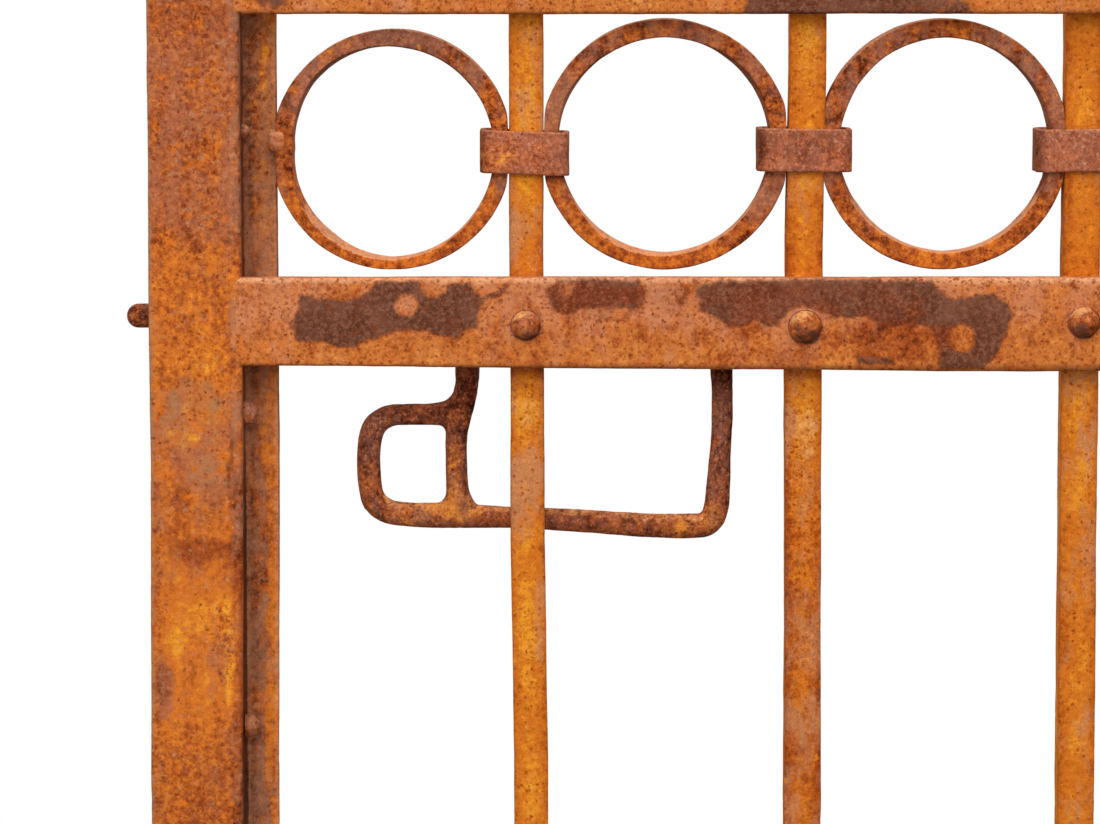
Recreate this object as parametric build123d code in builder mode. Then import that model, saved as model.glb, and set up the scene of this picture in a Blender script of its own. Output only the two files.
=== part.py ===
"""Wrought iron garden gate: one leaf on two pintles, with a ring frieze and a sliding latch bolt.

Frame: X runs along the gate towards the hinge post, Y from the front face to the back, Z up.
The origin is on the post's face, at the middle of the lower pintle bracket's back.
"""

import os
from math import atan2, cos, sin, sqrt

from build123d import *

os.makedirs("parts", exist_ok=True)

# Driving dimensions, in millimetres

# Leaf and its frame of angle irons
leaf_height = 1000.0
foot_length = 40.0  # stile below the bottom rail
stile_face = 36.0  # front flange of the outer angle
stile_thickness = 5.0
stile_edge_radius = 2.2
stile_root_radius = 2.0
inner_angle_width = 19.5  # back leg of the inner angle
inner_angle_thickness = 4.5
inner_angle_root_radius = 2.0
inner_angle_edge_radius = 0.8

# Rails, bars and frieze
rail_height = 40.0
rail_thickness = 10.0
rail_edge_radius = 1.5
bar_count = 6
bar_size = 16.0
bar_pitch = 122.5
bar_edge_radius = 1.5
bar_end_inset = 3.0  # from the outer edge of the top and bottom rails
end_bay = 102.0  # clear width between an inner angle and the nearest bar
ring_wall = 8.0
ring_depth = 14.0
ring_edge = 1.0
ring_side_gap = 0.3
ring_flat = 2.25  # how far a ring is hammered flat at each side, where its collars hold it
ring_rail_gap = 2.2
collar_height = 19.0
collar_thickness = 3.0
collar_corner_radius = 3.5
collar_clearance = 0.15
collar_side_play = 2.3
collar_drop = 2.35
collar_seam = 1.2
weld_height = 11.0
weld_rise = 3.6
weld_width_on_angle = 4.0
weld_width_on_ring = 4.5
weld_front = 2.0  # how far the nugget stands proud of the ring's front
weld_edge_radius = 1.5
weld_clearance = 0.05

# Rivets
rivet_clearance = 0.1
rail_rivet_head_radius = 7.5
rail_rivet_head_rise = 6.5
rail_rivet_shank_radius = 4.0
rail_rivet_tail_radius = 6.0
rail_rivet_tail_depth = 3.0
stile_rivet_head_radius = 5.2
stile_rivet_head_rise = 6.0
stile_rivet_tail_rise = 3.5
stile_rivet_shank_radius = 3.0
stile_rivet_above = 83.2  # first rivet above the middle of the lock rail
stile_rivet_below = 41.6  # first rivet below it
stile_rivet_pitch = 140.6
stile_rivet_rows_below = 5
hinge_rivet_head_radius = 6.5
hinge_rivet_head_rise = 4.5
hinge_rivet_shank_radius = 3.5
hinge_rivet_tail_radius = 5.0
hinge_rivet_tail_depth = 2.2
hinge_rivet_spacing = 18.0

# Latch
bolt_size = 12.0
bolt_edge_radius = 0.8
bolt_back_clearance = 0.4  # between the bolt and the backs of the bars
bolt_travel = 22.5
bolt_tail_length = 8.0  # past the bar guide
nose_radius = 5.2
nose_root_radius = 5.8
nose_reach = 12.6  # past the stile's outer edge
nose_dome = 5.0
nose_collar_gap = 0.3  # from the stile's edge to the straight stretch of the nose
nose_shoulder = 30.0  # from the stile's outer edge to the square bolt
guide_width = 14.0
guide_thickness = 3.0
guide_clearance = 0.35
guide_ear = 14.0
guide_bend_radius = 2.4
guide_rivet_head_radius = 4.2
guide_rivet_head_rise = 2.6
guide_rivet_shank_radius = 2.5
guide_rivet_tail_radius = 3.6
guide_rivet_tail_depth = 1.5
stop_pin_radius = 2.5
stop_pin_stand = 4.0
stop_pin_chamfer = 0.6
stop_pin_clearance = 0.05
stop_gap = 0.3  # left at each end of the bolt's travel

# Handle, seen from the front, with heights below the middle of the bolt
handle_rod_radius = 5.2
strut_rod_radius = 4.9
handle_left_leg = 140.0  # from the stile's outer edge
handle_right_lean = 2.5
handle_lean_drop = 55.0  # where the right leg starts to lean
handle_lean_radius = 60.0
handle_drop_left = 88.3
handle_drop_right = 94.6
loop_left = 95.0  # from the stile's outer edge
loop_drop = 44.5
loop_corner_radius = 15.0
handle_corner_radius = 7.5
strut_left = 134.5  # from the stile's outer edge
strut_bend_drop = 28.0
strut_bend_run = 22.0
strut_bend_radius = 20.0
tenon_radius = 3.5
tenon_head_radius = 5.0
tenon_head_rise = 2.2

# Hinges
hinge_inset = 140.0  # from the leaf's foot and from its top
pin_radius = 7.0
pin_running_clearance = 0.08
pin_seat_clearance = 0.02
pin_tip = 6.0
pin_tip_radius = 3.0
pin_foot_radius = 9.5
pin_foot_height = 3.0
eye_wall = 6.0
eye_height = 34.0
eye_edge_gap = 5.0  # between the eye and the stile's outer edge
eye_edge = 0.8
strap_length = 28.0  # on the back of the stile's flange
strap_thickness = 8.0
strap_end_radius = 4.0
washer_thickness = 2.0
washer_margin = 4.5
hinge_gap = 0.3
bracket_reach = 36.0  # from the post's face to the pin
bracket_thickness = 6.0
bracket_height = 110.0
bracket_width = 50.0
bracket_corner_radius = 6.0
bracket_hole_radius = 4.5
bracket_hole_spacing_y = 30.0
bracket_hole_spacing_z = 84.0
arm_thickness = 14.0
arm_wall = 6.0

overrun = 1.0  # how far a cutting tool runs past the surface it cuts

# Places that follow from those sizes

frame_depth = rail_thickness + bar_size
front = -frame_depth / 2
back = frame_depth / 2
rail_back = front + rail_thickness
bar_middle_y = rail_back + bar_size / 2

pin_x = -bracket_reach
eye_radius = pin_radius + pin_running_clearance + eye_wall
leaf_right = pin_x - eye_radius - eye_edge_gap
bays_width = 2 * end_bay + bar_count * bar_size + (bar_count - 1) * (bar_pitch - bar_size)
leaf_width = 2 * (stile_face + inner_angle_width) + bays_width
leaf_left = leaf_right - leaf_width

leaf_bottom = -hinge_inset
leaf_top = leaf_bottom + leaf_height
ring_diameter = bar_pitch - bar_size - 2 * ring_side_gap + 2 * ring_flat
frieze_height = ring_diameter + 2 * ring_rail_gap
bottom_rail_z = leaf_bottom + foot_length + rail_height / 2
top_rail_z = leaf_top - rail_height / 2
lock_rail_z = top_rail_z - rail_height - frieze_height
lock_rail_top = lock_rail_z + rail_height / 2
rail_heights = {"top_rail": top_rail_z, "lock_rail": lock_rail_z, "bottom_rail": bottom_rail_z}

lock_inner_edge = leaf_left + stile_face + inner_angle_width
hinge_inner_edge = leaf_right - stile_face - inner_angle_width
first_bar_x = lock_inner_edge + end_bay + bar_size / 2
bar_centres = [first_bar_x + index * bar_pitch for index in range(bar_count)]

rivet_heights = [lock_rail_z + stile_rivet_above]
rivet_heights += [
    lock_rail_z - stile_rivet_below - row * stile_rivet_pitch for row in range(stile_rivet_rows_below)
]
stile_flat_start = front + stile_thickness + stile_root_radius
stile_flat_end = back - inner_angle_thickness - inner_angle_root_radius
stile_rivet_y = (stile_flat_start + stile_flat_end) / 2
stile_rivet_grip = stile_thickness + inner_angle_thickness

bolt_y = back + bolt_back_clearance + bolt_size / 2
bolt_z = lock_rail_z
guide_bar = bar_centres[1]
stile_guide_x = leaf_left + stile_face + (inner_angle_thickness + inner_angle_width) / 2
guide_inner = bolt_size / 2 + guide_clearance
guide_outer = guide_inner + guide_thickness
guide_rivet_offset = guide_outer + guide_ear / 2
right_leg_x = guide_bar - guide_width / 2 - stop_gap - bolt_travel - handle_rod_radius
left_leg_x = leaf_left + handle_left_leg

hinge_heights = {"lower": 0.0, "upper": leaf_height - 2 * hinge_inset}
strap_start = leaf_right - strap_length
hinge_rivet_z = (-hinge_rivet_spacing / 2, hinge_rivet_spacing / 2)
hinge_rivet_x = leaf_right - strap_length / 2
hinge_rivet_grip = stile_thickness + strap_thickness

HEAD_FRONT = (-90, 0, 0)  # a rivet whose head faces the front
HEAD_BACK = (90, 0, 0)
HEAD_RIGHT = (0, -90, 0)
HEAD_LEFT = (0, 90, 0)


def save(piece, name):
    """Label a finished piece and write it to its file."""
    piece.part.label = name
    export_step(piece.part, f"parts/{name}.step")


def dome_middle(radius, rise):
    """Point half way along a dome's arc, as (distance from the axis, height above the seat)."""
    sphere = (radius**2 + rise**2) / (2 * rise)
    half_turn = atan2(radius, sphere - rise) / 2
    return sphere * sin(half_turn), rise - sphere * (1 - cos(half_turn))


def flush_rivet(head_radius, head_rise, shank_radius, grip, tail_radius, tail_depth):
    """Rivet along +Z: a domed head under Z = 0, and a tail hammered flush into a countersink."""
    middle = dome_middle(head_radius, head_rise)
    with BuildPart() as rivet:
        with BuildSketch(Plane.XZ):
            with BuildLine():
                Polyline(
                    (0, -head_rise),
                    (0, grip),
                    (tail_radius, grip),
                    (shank_radius, grip - tail_depth),
                    (shank_radius, 0),
                    (head_radius, 0),
                )
                ThreePointArc((head_radius, 0), (middle[0], -middle[1]), (0, -head_rise))
            make_face()
        revolve(axis=Axis.Z)
    return rivet.part


def flush_bore(shank_radius, grip, tail_radius, tail_depth):
    """Cutting tool for the hole of a flush rivet, with the rivet's clearance all round."""
    hole = shank_radius + rivet_clearance
    sink = tail_radius + rivet_clearance
    with BuildPart() as bore:
        with BuildSketch(Plane.XZ):
            with BuildLine():
                Polyline(
                    (0, -overrun),
                    (hole, -overrun),
                    (hole, grip - tail_depth),
                    (sink, grip),
                    (sink, grip + overrun),
                    (0, grip + overrun),
                    close=True,
                )
            make_face()
        revolve(axis=Axis.Z)
    return bore.part


def domed_rivet(head_radius, head_rise, shank_radius, grip, tail_rise):
    """Rivet along +Z with a domed head under Z = 0 and a lower dome on its tail."""
    head = dome_middle(head_radius, head_rise)
    tail = dome_middle(head_radius, tail_rise)
    with BuildPart() as rivet:
        with BuildSketch(Plane.XZ):
            with BuildLine():
                Line((0, -head_rise), (0, grip + tail_rise))
                ThreePointArc((0, grip + tail_rise), (tail[0], grip + tail[1]), (head_radius, grip))
                Polyline((head_radius, grip), (shank_radius, grip), (shank_radius, 0), (head_radius, 0))
                ThreePointArc((head_radius, 0), (head[0], -head[1]), (0, -head_rise))
            make_face()
        revolve(axis=Axis.Z)
    return rivet.part


# Rivets and their holes, each made once and then set in place
rail_rivet_grip = frame_depth
rail_rivet = flush_rivet(
    rail_rivet_head_radius,
    rail_rivet_head_rise,
    rail_rivet_shank_radius,
    rail_rivet_grip,
    rail_rivet_tail_radius,
    rail_rivet_tail_depth,
)
rail_rivet_bore = flush_bore(
    rail_rivet_shank_radius, rail_rivet_grip, rail_rivet_tail_radius, rail_rivet_tail_depth
)
hinge_rivet = flush_rivet(
    hinge_rivet_head_radius,
    hinge_rivet_head_rise,
    hinge_rivet_shank_radius,
    hinge_rivet_grip,
    hinge_rivet_tail_radius,
    hinge_rivet_tail_depth,
)
hinge_rivet_bore = flush_bore(
    hinge_rivet_shank_radius, hinge_rivet_grip, hinge_rivet_tail_radius, hinge_rivet_tail_depth
)
stile_rivet = domed_rivet(
    stile_rivet_head_radius,
    stile_rivet_head_rise,
    stile_rivet_shank_radius,
    stile_rivet_grip,
    stile_rivet_tail_rise,
)
guide_rivet_sizes = (guide_rivet_tail_radius, guide_rivet_tail_depth)


def guide_rivet_places(guide_x):
    """The two rivets of a bolt guide, with their heads on its ears."""
    ear_back = back + guide_thickness
    return [Location((guide_x, ear_back, bolt_z + side * guide_rivet_offset), HEAD_BACK) for side in (-1, 1)]


def rail_rivet_places(rail_z):
    """One rivet through a rail at each bar."""
    return [Location((x, front, rail_z), HEAD_FRONT) for x in bar_centres]


def hinge_rivet_places(hinge_z):
    """The rivets that hold one hinge strap to the stile's flange."""
    return [Location((hinge_rivet_x, front, hinge_z + step), HEAD_FRONT) for step in hinge_rivet_z]


hinge_places = [place for z in hinge_heights.values() for place in hinge_rivet_places(z)]


def outer_angle(edge, side):
    """Stile of angle iron: wide flange to the front, side flange going back at its inner edge."""
    inner = edge + side * stile_face
    web = inner - side * stile_thickness
    with BuildPart() as angle:
        with BuildSketch(Plane.XY.offset(leaf_bottom)) as section:
            with BuildLine():
                Polyline(
                    (edge, front),
                    (inner, front),
                    (inner, back),
                    (web, back),
                    (web, front + stile_thickness),
                    (edge, front + stile_thickness),
                    close=True,
                )
            make_face()
            corners = section.vertices()
            fillet(corners.sort_by_distance((web, front + stile_thickness))[0], stile_root_radius)
            outer_edge = section.vertices().group_by(Axis.X)[0 if side > 0 else -1]
            fillet(outer_edge, stile_edge_radius)
        extrude(amount=leaf_height)
        with BuildSketch(Plane.YZ.offset(web - side * overrun)):
            with Locations(*[(stile_rivet_y, z) for z in rivet_heights]):
                Circle(stile_rivet_shank_radius + rivet_clearance)
        extrude(amount=side * (stile_thickness + 2 * overrun), mode=Mode.SUBTRACT)
    return angle


def inner_angle(edge, side):
    """Narrow angle riveted to a stile's side: one leg forward along the stile, one leg at the back."""
    heel = edge + side * stile_face
    forward_face = heel + side * inner_angle_thickness
    toe = heel + side * inner_angle_width
    back_face = back - inner_angle_thickness
    with BuildPart() as angle:
        with BuildSketch(Plane.XY.offset(leaf_bottom)) as section:
            with BuildLine():
                Polyline(
                    (heel, front),
                    (forward_face, front),
                    (forward_face, back_face),
                    (toe, back_face),
                    (toe, back),
                    (heel, back),
                    close=True,
                )
            make_face()
            corners = section.vertices()
            fillet(corners.sort_by_distance((forward_face, back_face))[0], inner_angle_root_radius)
            toe_edge = section.vertices().group_by(Axis.X)[-1 if side > 0 else 0]
            fillet(toe_edge, inner_angle_edge_radius)
        extrude(amount=leaf_height)
        with BuildSketch(Plane.YZ.offset(heel - side * overrun)):
            with Locations(*[(stile_rivet_y, z) for z in rivet_heights]):
                Circle(stile_rivet_shank_radius + rivet_clearance)
        extrude(amount=side * (inner_angle_thickness + 2 * overrun), mode=Mode.SUBTRACT)
    return angle


# Lock stile
lock_stile = outer_angle(leaf_left, 1)
save(lock_stile, "lock_stile")

# Inner angle on the lock side, with the holes of the bolt guide
lock_inner_angle = inner_angle(leaf_left, 1)
stile_guide_grip = guide_thickness + inner_angle_thickness
stile_guide_bore = flush_bore(guide_rivet_shank_radius, stile_guide_grip, *guide_rivet_sizes)
with lock_inner_angle:
    with Locations(*guide_rivet_places(stile_guide_x)):
        add(stile_guide_bore, mode=Mode.SUBTRACT)
save(lock_inner_angle, "lock_inner_angle")

# Hinge stile, with the holes of the hinge straps
hinge_stile = outer_angle(leaf_right, -1)
with hinge_stile:
    with Locations(*hinge_places):
        add(hinge_rivet_bore, mode=Mode.SUBTRACT)
save(hinge_stile, "hinge_stile")

# Inner angle on the hinge side
hinge_inner_angle = inner_angle(leaf_right, -1)
save(hinge_inner_angle, "hinge_inner_angle")

# Rivets that hold each inner angle to its stile
for name, heel, turn, side in (
    ("lock_stile_rivets", leaf_left + stile_face, HEAD_RIGHT, 1),
    ("hinge_stile_rivets", leaf_right - stile_face, HEAD_LEFT, -1),
):
    seat = heel + side * inner_angle_thickness
    with BuildPart() as stile_rivets:
        with Locations(*[Location((seat, stile_rivet_y, z), turn) for z in rivet_heights]):
            add(stile_rivet)
    save(stile_rivets, name)

# Rails, butted between the inner angles' forward legs
rail_start = leaf_left + stile_face + inner_angle_thickness
rail_end = leaf_right - stile_face - inner_angle_thickness
for name, rail_z in rail_heights.items():
    with BuildPart() as rail:
        with BuildSketch(Plane.YZ.offset(rail_start)):
            with Locations((front + rail_thickness / 2, rail_z)):
                RectangleRounded(rail_thickness, rail_height, rail_edge_radius)
        extrude(amount=rail_end - rail_start)
        with Locations(*rail_rivet_places(rail_z)):
            add(rail_rivet_bore, mode=Mode.SUBTRACT)
    save(rail, name)

    with BuildPart() as rail_rivets:
        with Locations(*rail_rivet_places(rail_z)):
            add(rail_rivet)
    save(rail_rivets, f"{name}_rivets")

# Upright bars behind the rails
bar_bottom = bottom_rail_z - rail_height / 2 + bar_end_inset
bar_top = top_rail_z + rail_height / 2 - bar_end_inset
bar_guide_grip = guide_thickness + bar_size
bar_guide_bore = flush_bore(guide_rivet_shank_radius, bar_guide_grip, *guide_rivet_sizes)
for index, bar_x in enumerate(bar_centres, start=1):
    with BuildPart() as bar:
        with BuildSketch(Plane.XY.offset(bar_bottom)):
            with Locations((bar_x, bar_middle_y)):
                RectangleRounded(bar_size, bar_size, bar_edge_radius)
        extrude(amount=bar_top - bar_bottom)
        for rail_z in rail_heights.values():
            with Locations(Location((bar_x, front, rail_z), HEAD_FRONT)):
                add(rail_rivet_bore, mode=Mode.SUBTRACT)
        if bar_x == guide_bar:
            with Locations(*guide_rivet_places(bar_x)):
                add(bar_guide_bore, mode=Mode.SUBTRACT)
    save(bar, f"bar_{index}")

# Rings, one in each bay, standing just clear of the lock rail
bay_edges = [lock_inner_edge]
for bar_x in bar_centres:
    bay_edges += [bar_x - bar_size / 2, bar_x + bar_size / 2]
bay_edges.append(hinge_inner_edge)
bays = list(zip(bay_edges[0::2], bay_edges[1::2]))
ring_centres = []
for index, (bay_start, bay_end) in enumerate(bays, start=1):
    ring_radius = (bay_end - bay_start) / 2 - ring_side_gap + ring_flat
    ring_x = (bay_start + bay_end) / 2
    ring_z = lock_rail_top + ring_rail_gap + ring_radius
    ring_centres.append((ring_x, ring_z, ring_radius))
    with BuildPart() as ring:
        with BuildSketch(Plane.XZ.offset(ring_depth / 2 - bar_middle_y)):
            with Locations((ring_x, ring_z)):
                Circle(ring_radius)
                Rectangle(2 * (ring_radius - ring_flat), 2 * ring_radius, mode=Mode.INTERSECT)
                Circle(ring_radius - ring_wall, mode=Mode.SUBTRACT)
        extrude(amount=-ring_depth)
        ring_faces = ring.faces().sort_by(Axis.Y)
        chamfer(ring_faces[0].edges() + ring_faces[-1].edges(), ring_edge)
    save(ring, f"ring_{index}")

# Collars, strips bent round ring, bar and ring, with their ends meeting at the back
for index, bar_x in enumerate(bar_centres, start=1):
    left_ring, right_ring = ring_centres[index - 1], ring_centres[index]
    collar_z = (left_ring[1] + right_ring[1]) / 2 - collar_drop
    reach = 0.0
    for ring_x, ring_z, ring_radius in (left_ring, right_ring):
        hole = ring_radius - ring_wall
        height = abs(collar_z - ring_z) + collar_height / 2
        reach = max(reach, abs(bar_x - ring_x) - sqrt(hole**2 - height**2))
    inside_width = 2 * (reach + collar_side_play)
    inside_depth = bar_size + 2 * collar_clearance
    outside_width = inside_width + 2 * collar_thickness
    outside_depth = inside_depth + 2 * collar_thickness
    with BuildPart() as collar:
        with BuildSketch(Plane.XY.offset(collar_z - collar_height / 2)):
            with Locations((bar_x, bar_middle_y)):
                RectangleRounded(outside_width, outside_depth, collar_corner_radius)
                Rectangle(inside_width, inside_depth, mode=Mode.SUBTRACT)
            with Locations((bar_x, bar_middle_y + outside_depth / 2)):
                Rectangle(collar_seam, 2 * (collar_thickness + overrun), mode=Mode.SUBTRACT)
        extrude(amount=collar_height)
    save(collar, f"collar_{index}")

# Weld nuggets between the end rings and the inner angles
ring_front = bar_middle_y - ring_depth / 2
weld_back = back - inner_angle_thickness
for name, edge, side, (ring_x, ring_z, ring_radius) in (
    ("ring_weld_lock", lock_inner_edge, 1, ring_centres[0]),
    ("ring_weld_hinge", hinge_inner_edge, -1, ring_centres[-1]),
):
    weld_width = weld_width_on_angle + ring_side_gap + weld_width_on_ring
    weld_x = edge + side * (weld_width / 2 - weld_width_on_angle)
    with BuildPart() as weld:
        with BuildSketch(Plane.XZ.offset(weld_front - ring_front)):
            with Locations((weld_x, ring_z + weld_rise)):
                Rectangle(weld_width, weld_height)
        extrude(amount=ring_front - weld_front - weld_back)
        fillet(weld.faces().sort_by(Axis.Y)[0].edges(), weld_edge_radius)
        with BuildSketch(Plane.XZ.offset(weld_clearance - ring_front)):
            with Locations((ring_x, ring_z)):
                Circle(ring_radius + weld_clearance)
                weld_side = ring_radius - ring_flat + weld_clearance
                Rectangle(2 * weld_side, 2 * (ring_radius + weld_clearance), mode=Mode.INTERSECT)
        extrude(amount=-frame_depth, mode=Mode.SUBTRACT)
    save(weld, name)

# Guide straps that carry the bolt
guide_back = bolt_y + guide_inner
for name, guide_x in (("stile_bolt_guide", stile_guide_x), ("bar_bolt_guide", guide_bar)):
    ear_end = guide_outer + guide_ear
    ear_back = back + guide_thickness
    strap_back = guide_back + guide_thickness
    with BuildPart() as guide:
        with BuildSketch(Plane.YZ.offset(guide_x - guide_width / 2)) as section:
            with BuildLine():
                Polyline(
                    (back, bolt_z - ear_end),
                    (back, bolt_z - guide_inner),
                    (guide_back, bolt_z - guide_inner),
                    (guide_back, bolt_z + guide_inner),
                    (back, bolt_z + guide_inner),
                    (back, bolt_z + ear_end),
                    (ear_back, bolt_z + ear_end),
                    (ear_back, bolt_z + guide_outer),
                    (strap_back, bolt_z + guide_outer),
                    (strap_back, bolt_z - guide_outer),
                    (ear_back, bolt_z - guide_outer),
                    (ear_back, bolt_z - ear_end),
                    close=True,
                )
            make_face()
            fillet(section.vertices().group_by(Axis.X)[-1], guide_bend_radius)
        extrude(amount=guide_width)
        with Locations(*guide_rivet_places(guide_x)):
            add(stile_guide_bore, mode=Mode.SUBTRACT)
    save(guide, name)

# Rivets of the guide straps
for name, guide_x, grip in (
    ("stile_guide_rivets", stile_guide_x, stile_guide_grip),
    ("bar_guide_rivets", guide_bar, bar_guide_grip),
):
    guide_rivet = flush_rivet(
        guide_rivet_head_radius, guide_rivet_head_rise, guide_rivet_shank_radius, grip, *guide_rivet_sizes
    )
    with BuildPart() as guide_rivets:
        with Locations(*guide_rivet_places(guide_x)):
            add(guide_rivet)
    save(guide_rivets, name)

# Latch bolt: a square bar drawn down to a round nose
shoulder_x = leaf_left + nose_shoulder
nose_tip = leaf_left - nose_reach
bolt_end = guide_bar + guide_width / 2 + bolt_tail_length
stop_pin_x = stile_guide_x + guide_width / 2 + stop_gap + stop_pin_radius
nose_arc = dome_middle(nose_radius, nose_dome)
with BuildPart() as latch_bolt:
    with BuildSketch(Plane.YZ.offset(shoulder_x)):
        with Locations((bolt_y, bolt_z)):
            RectangleRounded(bolt_size, bolt_size, bolt_edge_radius)
    extrude(amount=bolt_end - shoulder_x)
    with BuildSketch(Plane.XZ.offset(-bolt_y)):
        with BuildLine():
            dome_start = nose_tip + nose_dome
            Polyline(
                (nose_tip, bolt_z),
                (shoulder_x, bolt_z),
                (shoulder_x, bolt_z + nose_root_radius),
                (leaf_left - nose_collar_gap, bolt_z + nose_radius),
                (dome_start, bolt_z + nose_radius),
            )
            ThreePointArc(
                (dome_start, bolt_z + nose_radius),
                (dome_start - nose_arc[1], bolt_z + nose_arc[0]),
                (nose_tip, bolt_z),
            )
        make_face()
    revolve(axis=Axis((0, bolt_y, bolt_z), (1, 0, 0)))
    with BuildSketch(Plane.XY.offset(bolt_z - bolt_size / 2 - overrun)):
        with Locations((left_leg_x, bolt_y), (right_leg_x, bolt_y)):
            Circle(tenon_radius + rivet_clearance)
        with Locations((stop_pin_x, bolt_y)):
            Circle(stop_pin_radius + stop_pin_clearance)
    extrude(amount=bolt_size + 2 * overrun, mode=Mode.SUBTRACT)
save(latch_bolt, "latch_bolt")

# Stop pin through the bolt, which meets the stile's guide when the bolt is thrown
with BuildPart() as bolt_stop_pin:
    with BuildSketch(Plane.XY.offset(bolt_z - bolt_size / 2 - stop_pin_stand)):
        with Locations((stop_pin_x, bolt_y)):
            Circle(stop_pin_radius)
    extrude(amount=bolt_size + 2 * stop_pin_stand)
    chamfer(bolt_stop_pin.edges().filter_by(GeomType.CIRCLE), stop_pin_chamfer)
save(bolt_stop_pin, "bolt_stop_pin")

# Handle: a rod bent to a leg, a long run and a loop, with a strut as its left leg
under_bolt = bolt_z - bolt_size / 2
strut_x = leaf_left + strut_left
handle_plane = Plane.XZ.offset(-bolt_y)
with BuildPart() as latch_handle:
    with BuildLine(handle_plane) as rod:
        FilletPolyline(
            (right_leg_x, under_bolt),
            (right_leg_x, bolt_z - handle_lean_drop),
            (right_leg_x - handle_right_lean, bolt_z - handle_drop_right),
            (leaf_left + loop_left, bolt_z - handle_drop_left),
            (leaf_left + loop_left, bolt_z - loop_drop),
            (strut_x, bolt_z - loop_drop),
            radius=[handle_lean_radius, handle_corner_radius, loop_corner_radius, loop_corner_radius],
        )
    with BuildSketch(Plane(rod.line @ 0, z_dir=rod.line % 0)):
        Circle(handle_rod_radius)
    sweep(path=rod.line)
    with BuildLine(handle_plane) as strut:
        FilletPolyline(
            (left_leg_x, under_bolt),
            (left_leg_x, bolt_z - strut_bend_drop),
            (strut_x, bolt_z - strut_bend_drop - strut_bend_run),
            (strut_x, bolt_z - handle_drop_left),
            radius=strut_bend_radius,
        )
    with BuildSketch(Plane(strut.line @ 0, z_dir=strut.line % 0)):
        Circle(strut_rod_radius)
    sweep(path=strut.line)
    tenon_middle = dome_middle(tenon_head_radius, tenon_head_rise)
    for leg_x in (left_leg_x, right_leg_x):
        with BuildSketch(handle_plane):
            with BuildLine():
                bolt_top = bolt_z + bolt_size / 2
                Polyline(
                    (leg_x, bolt_top + tenon_head_rise),
                    (leg_x, under_bolt - overrun),
                    (leg_x + tenon_radius, under_bolt - overrun),
                    (leg_x + tenon_radius, bolt_top),
                    (leg_x + tenon_head_radius, bolt_top),
                )
                ThreePointArc(
                    (leg_x + tenon_head_radius, bolt_top),
                    (leg_x + tenon_middle[0], bolt_top + tenon_middle[1]),
                    (leg_x, bolt_top + tenon_head_rise),
                )
            make_face()
        revolve(axis=Axis((leg_x, bolt_y, 0), (0, 0, 1)))
save(latch_handle, "latch_handle")

# Hinge eyes: a strap behind the stile's flange, rolled into an eye
strap_front = front + stile_thickness
strap_back = strap_front + strap_thickness
for name, hinge_z in hinge_heights.items():
    with BuildPart() as hinge_eye:
        with BuildSketch(Plane.XZ.offset(-strap_front)) as strap:
            with Locations(((strap_start + pin_x) / 2, hinge_z)):
                Rectangle(pin_x - strap_start, eye_height)
            fillet(strap.vertices().group_by(Axis.X)[0], strap_end_radius)
        extrude(amount=-strap_thickness)
        with BuildSketch(Plane.XY.offset(hinge_z - eye_height / 2)):
            with Locations((pin_x, 0)):
                Circle(eye_radius)
        extrude(amount=eye_height)
        rims = hinge_eye.edges().filter_by(GeomType.CIRCLE).filter_by(lambda edge: edge.radius == eye_radius)
        chamfer(rims, eye_edge)
        with BuildSketch(Plane.XY.offset(hinge_z - eye_height / 2 - overrun)):
            with Locations((pin_x, 0)):
                Circle(pin_radius + pin_running_clearance)
        extrude(amount=eye_height + 2 * overrun, mode=Mode.SUBTRACT)
        with Locations(*hinge_rivet_places(hinge_z)):
            add(hinge_rivet_bore, mode=Mode.SUBTRACT)
    save(hinge_eye, f"{name}_hinge_eye")

with BuildPart() as hinge_eye_rivets:
    with Locations(*hinge_places):
        add(hinge_rivet)
save(hinge_eye_rivets, "hinge_eye_rivets")

# Pintle brackets and pins, fixed to the post, with a washer under each eye
arm_radius = pin_radius + arm_wall
for name, hinge_z in hinge_heights.items():
    washer_top = hinge_z - eye_height / 2 - hinge_gap
    arm_top = washer_top - washer_thickness
    arm_bottom = arm_top - arm_thickness
    with BuildPart() as bracket:
        with BuildSketch(Plane.YZ.offset(-bracket_thickness)):
            with Locations((0, hinge_z)):
                RectangleRounded(bracket_width, bracket_height, bracket_corner_radius)
                with GridLocations(bracket_hole_spacing_y, bracket_hole_spacing_z, 2, 2):
                    Circle(bracket_hole_radius, mode=Mode.SUBTRACT)
        extrude(amount=bracket_thickness)
        with BuildSketch(Plane.XY.offset(arm_bottom)):
            with Locations((pin_x, 0)):
                Circle(arm_radius)
            with Locations(((pin_x - bracket_thickness) / 2, 0)):
                Rectangle(-bracket_thickness - pin_x, 2 * arm_radius)
            with Locations((pin_x, 0)):
                Circle(pin_radius + pin_seat_clearance, mode=Mode.SUBTRACT)
        extrude(amount=arm_thickness)
    save(bracket, f"{name}_pintle_bracket")

    with BuildPart() as pintle_pin:
        with BuildSketch(Plane.XY.offset(arm_bottom - pin_foot_height)):
            with Locations((pin_x, 0)):
                Circle(pin_foot_radius)
        extrude(amount=pin_foot_height)
        with BuildSketch(Plane.XY.offset(arm_bottom)):
            with Locations((pin_x, 0)):
                Circle(pin_radius)
        extrude(amount=hinge_z + eye_height / 2 + pin_tip - arm_bottom)
        fillet(pintle_pin.edges().filter_by(GeomType.CIRCLE).sort_by(Axis.Z)[-1], pin_tip_radius)
    save(pintle_pin, f"{name}_pintle_pin")

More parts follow.
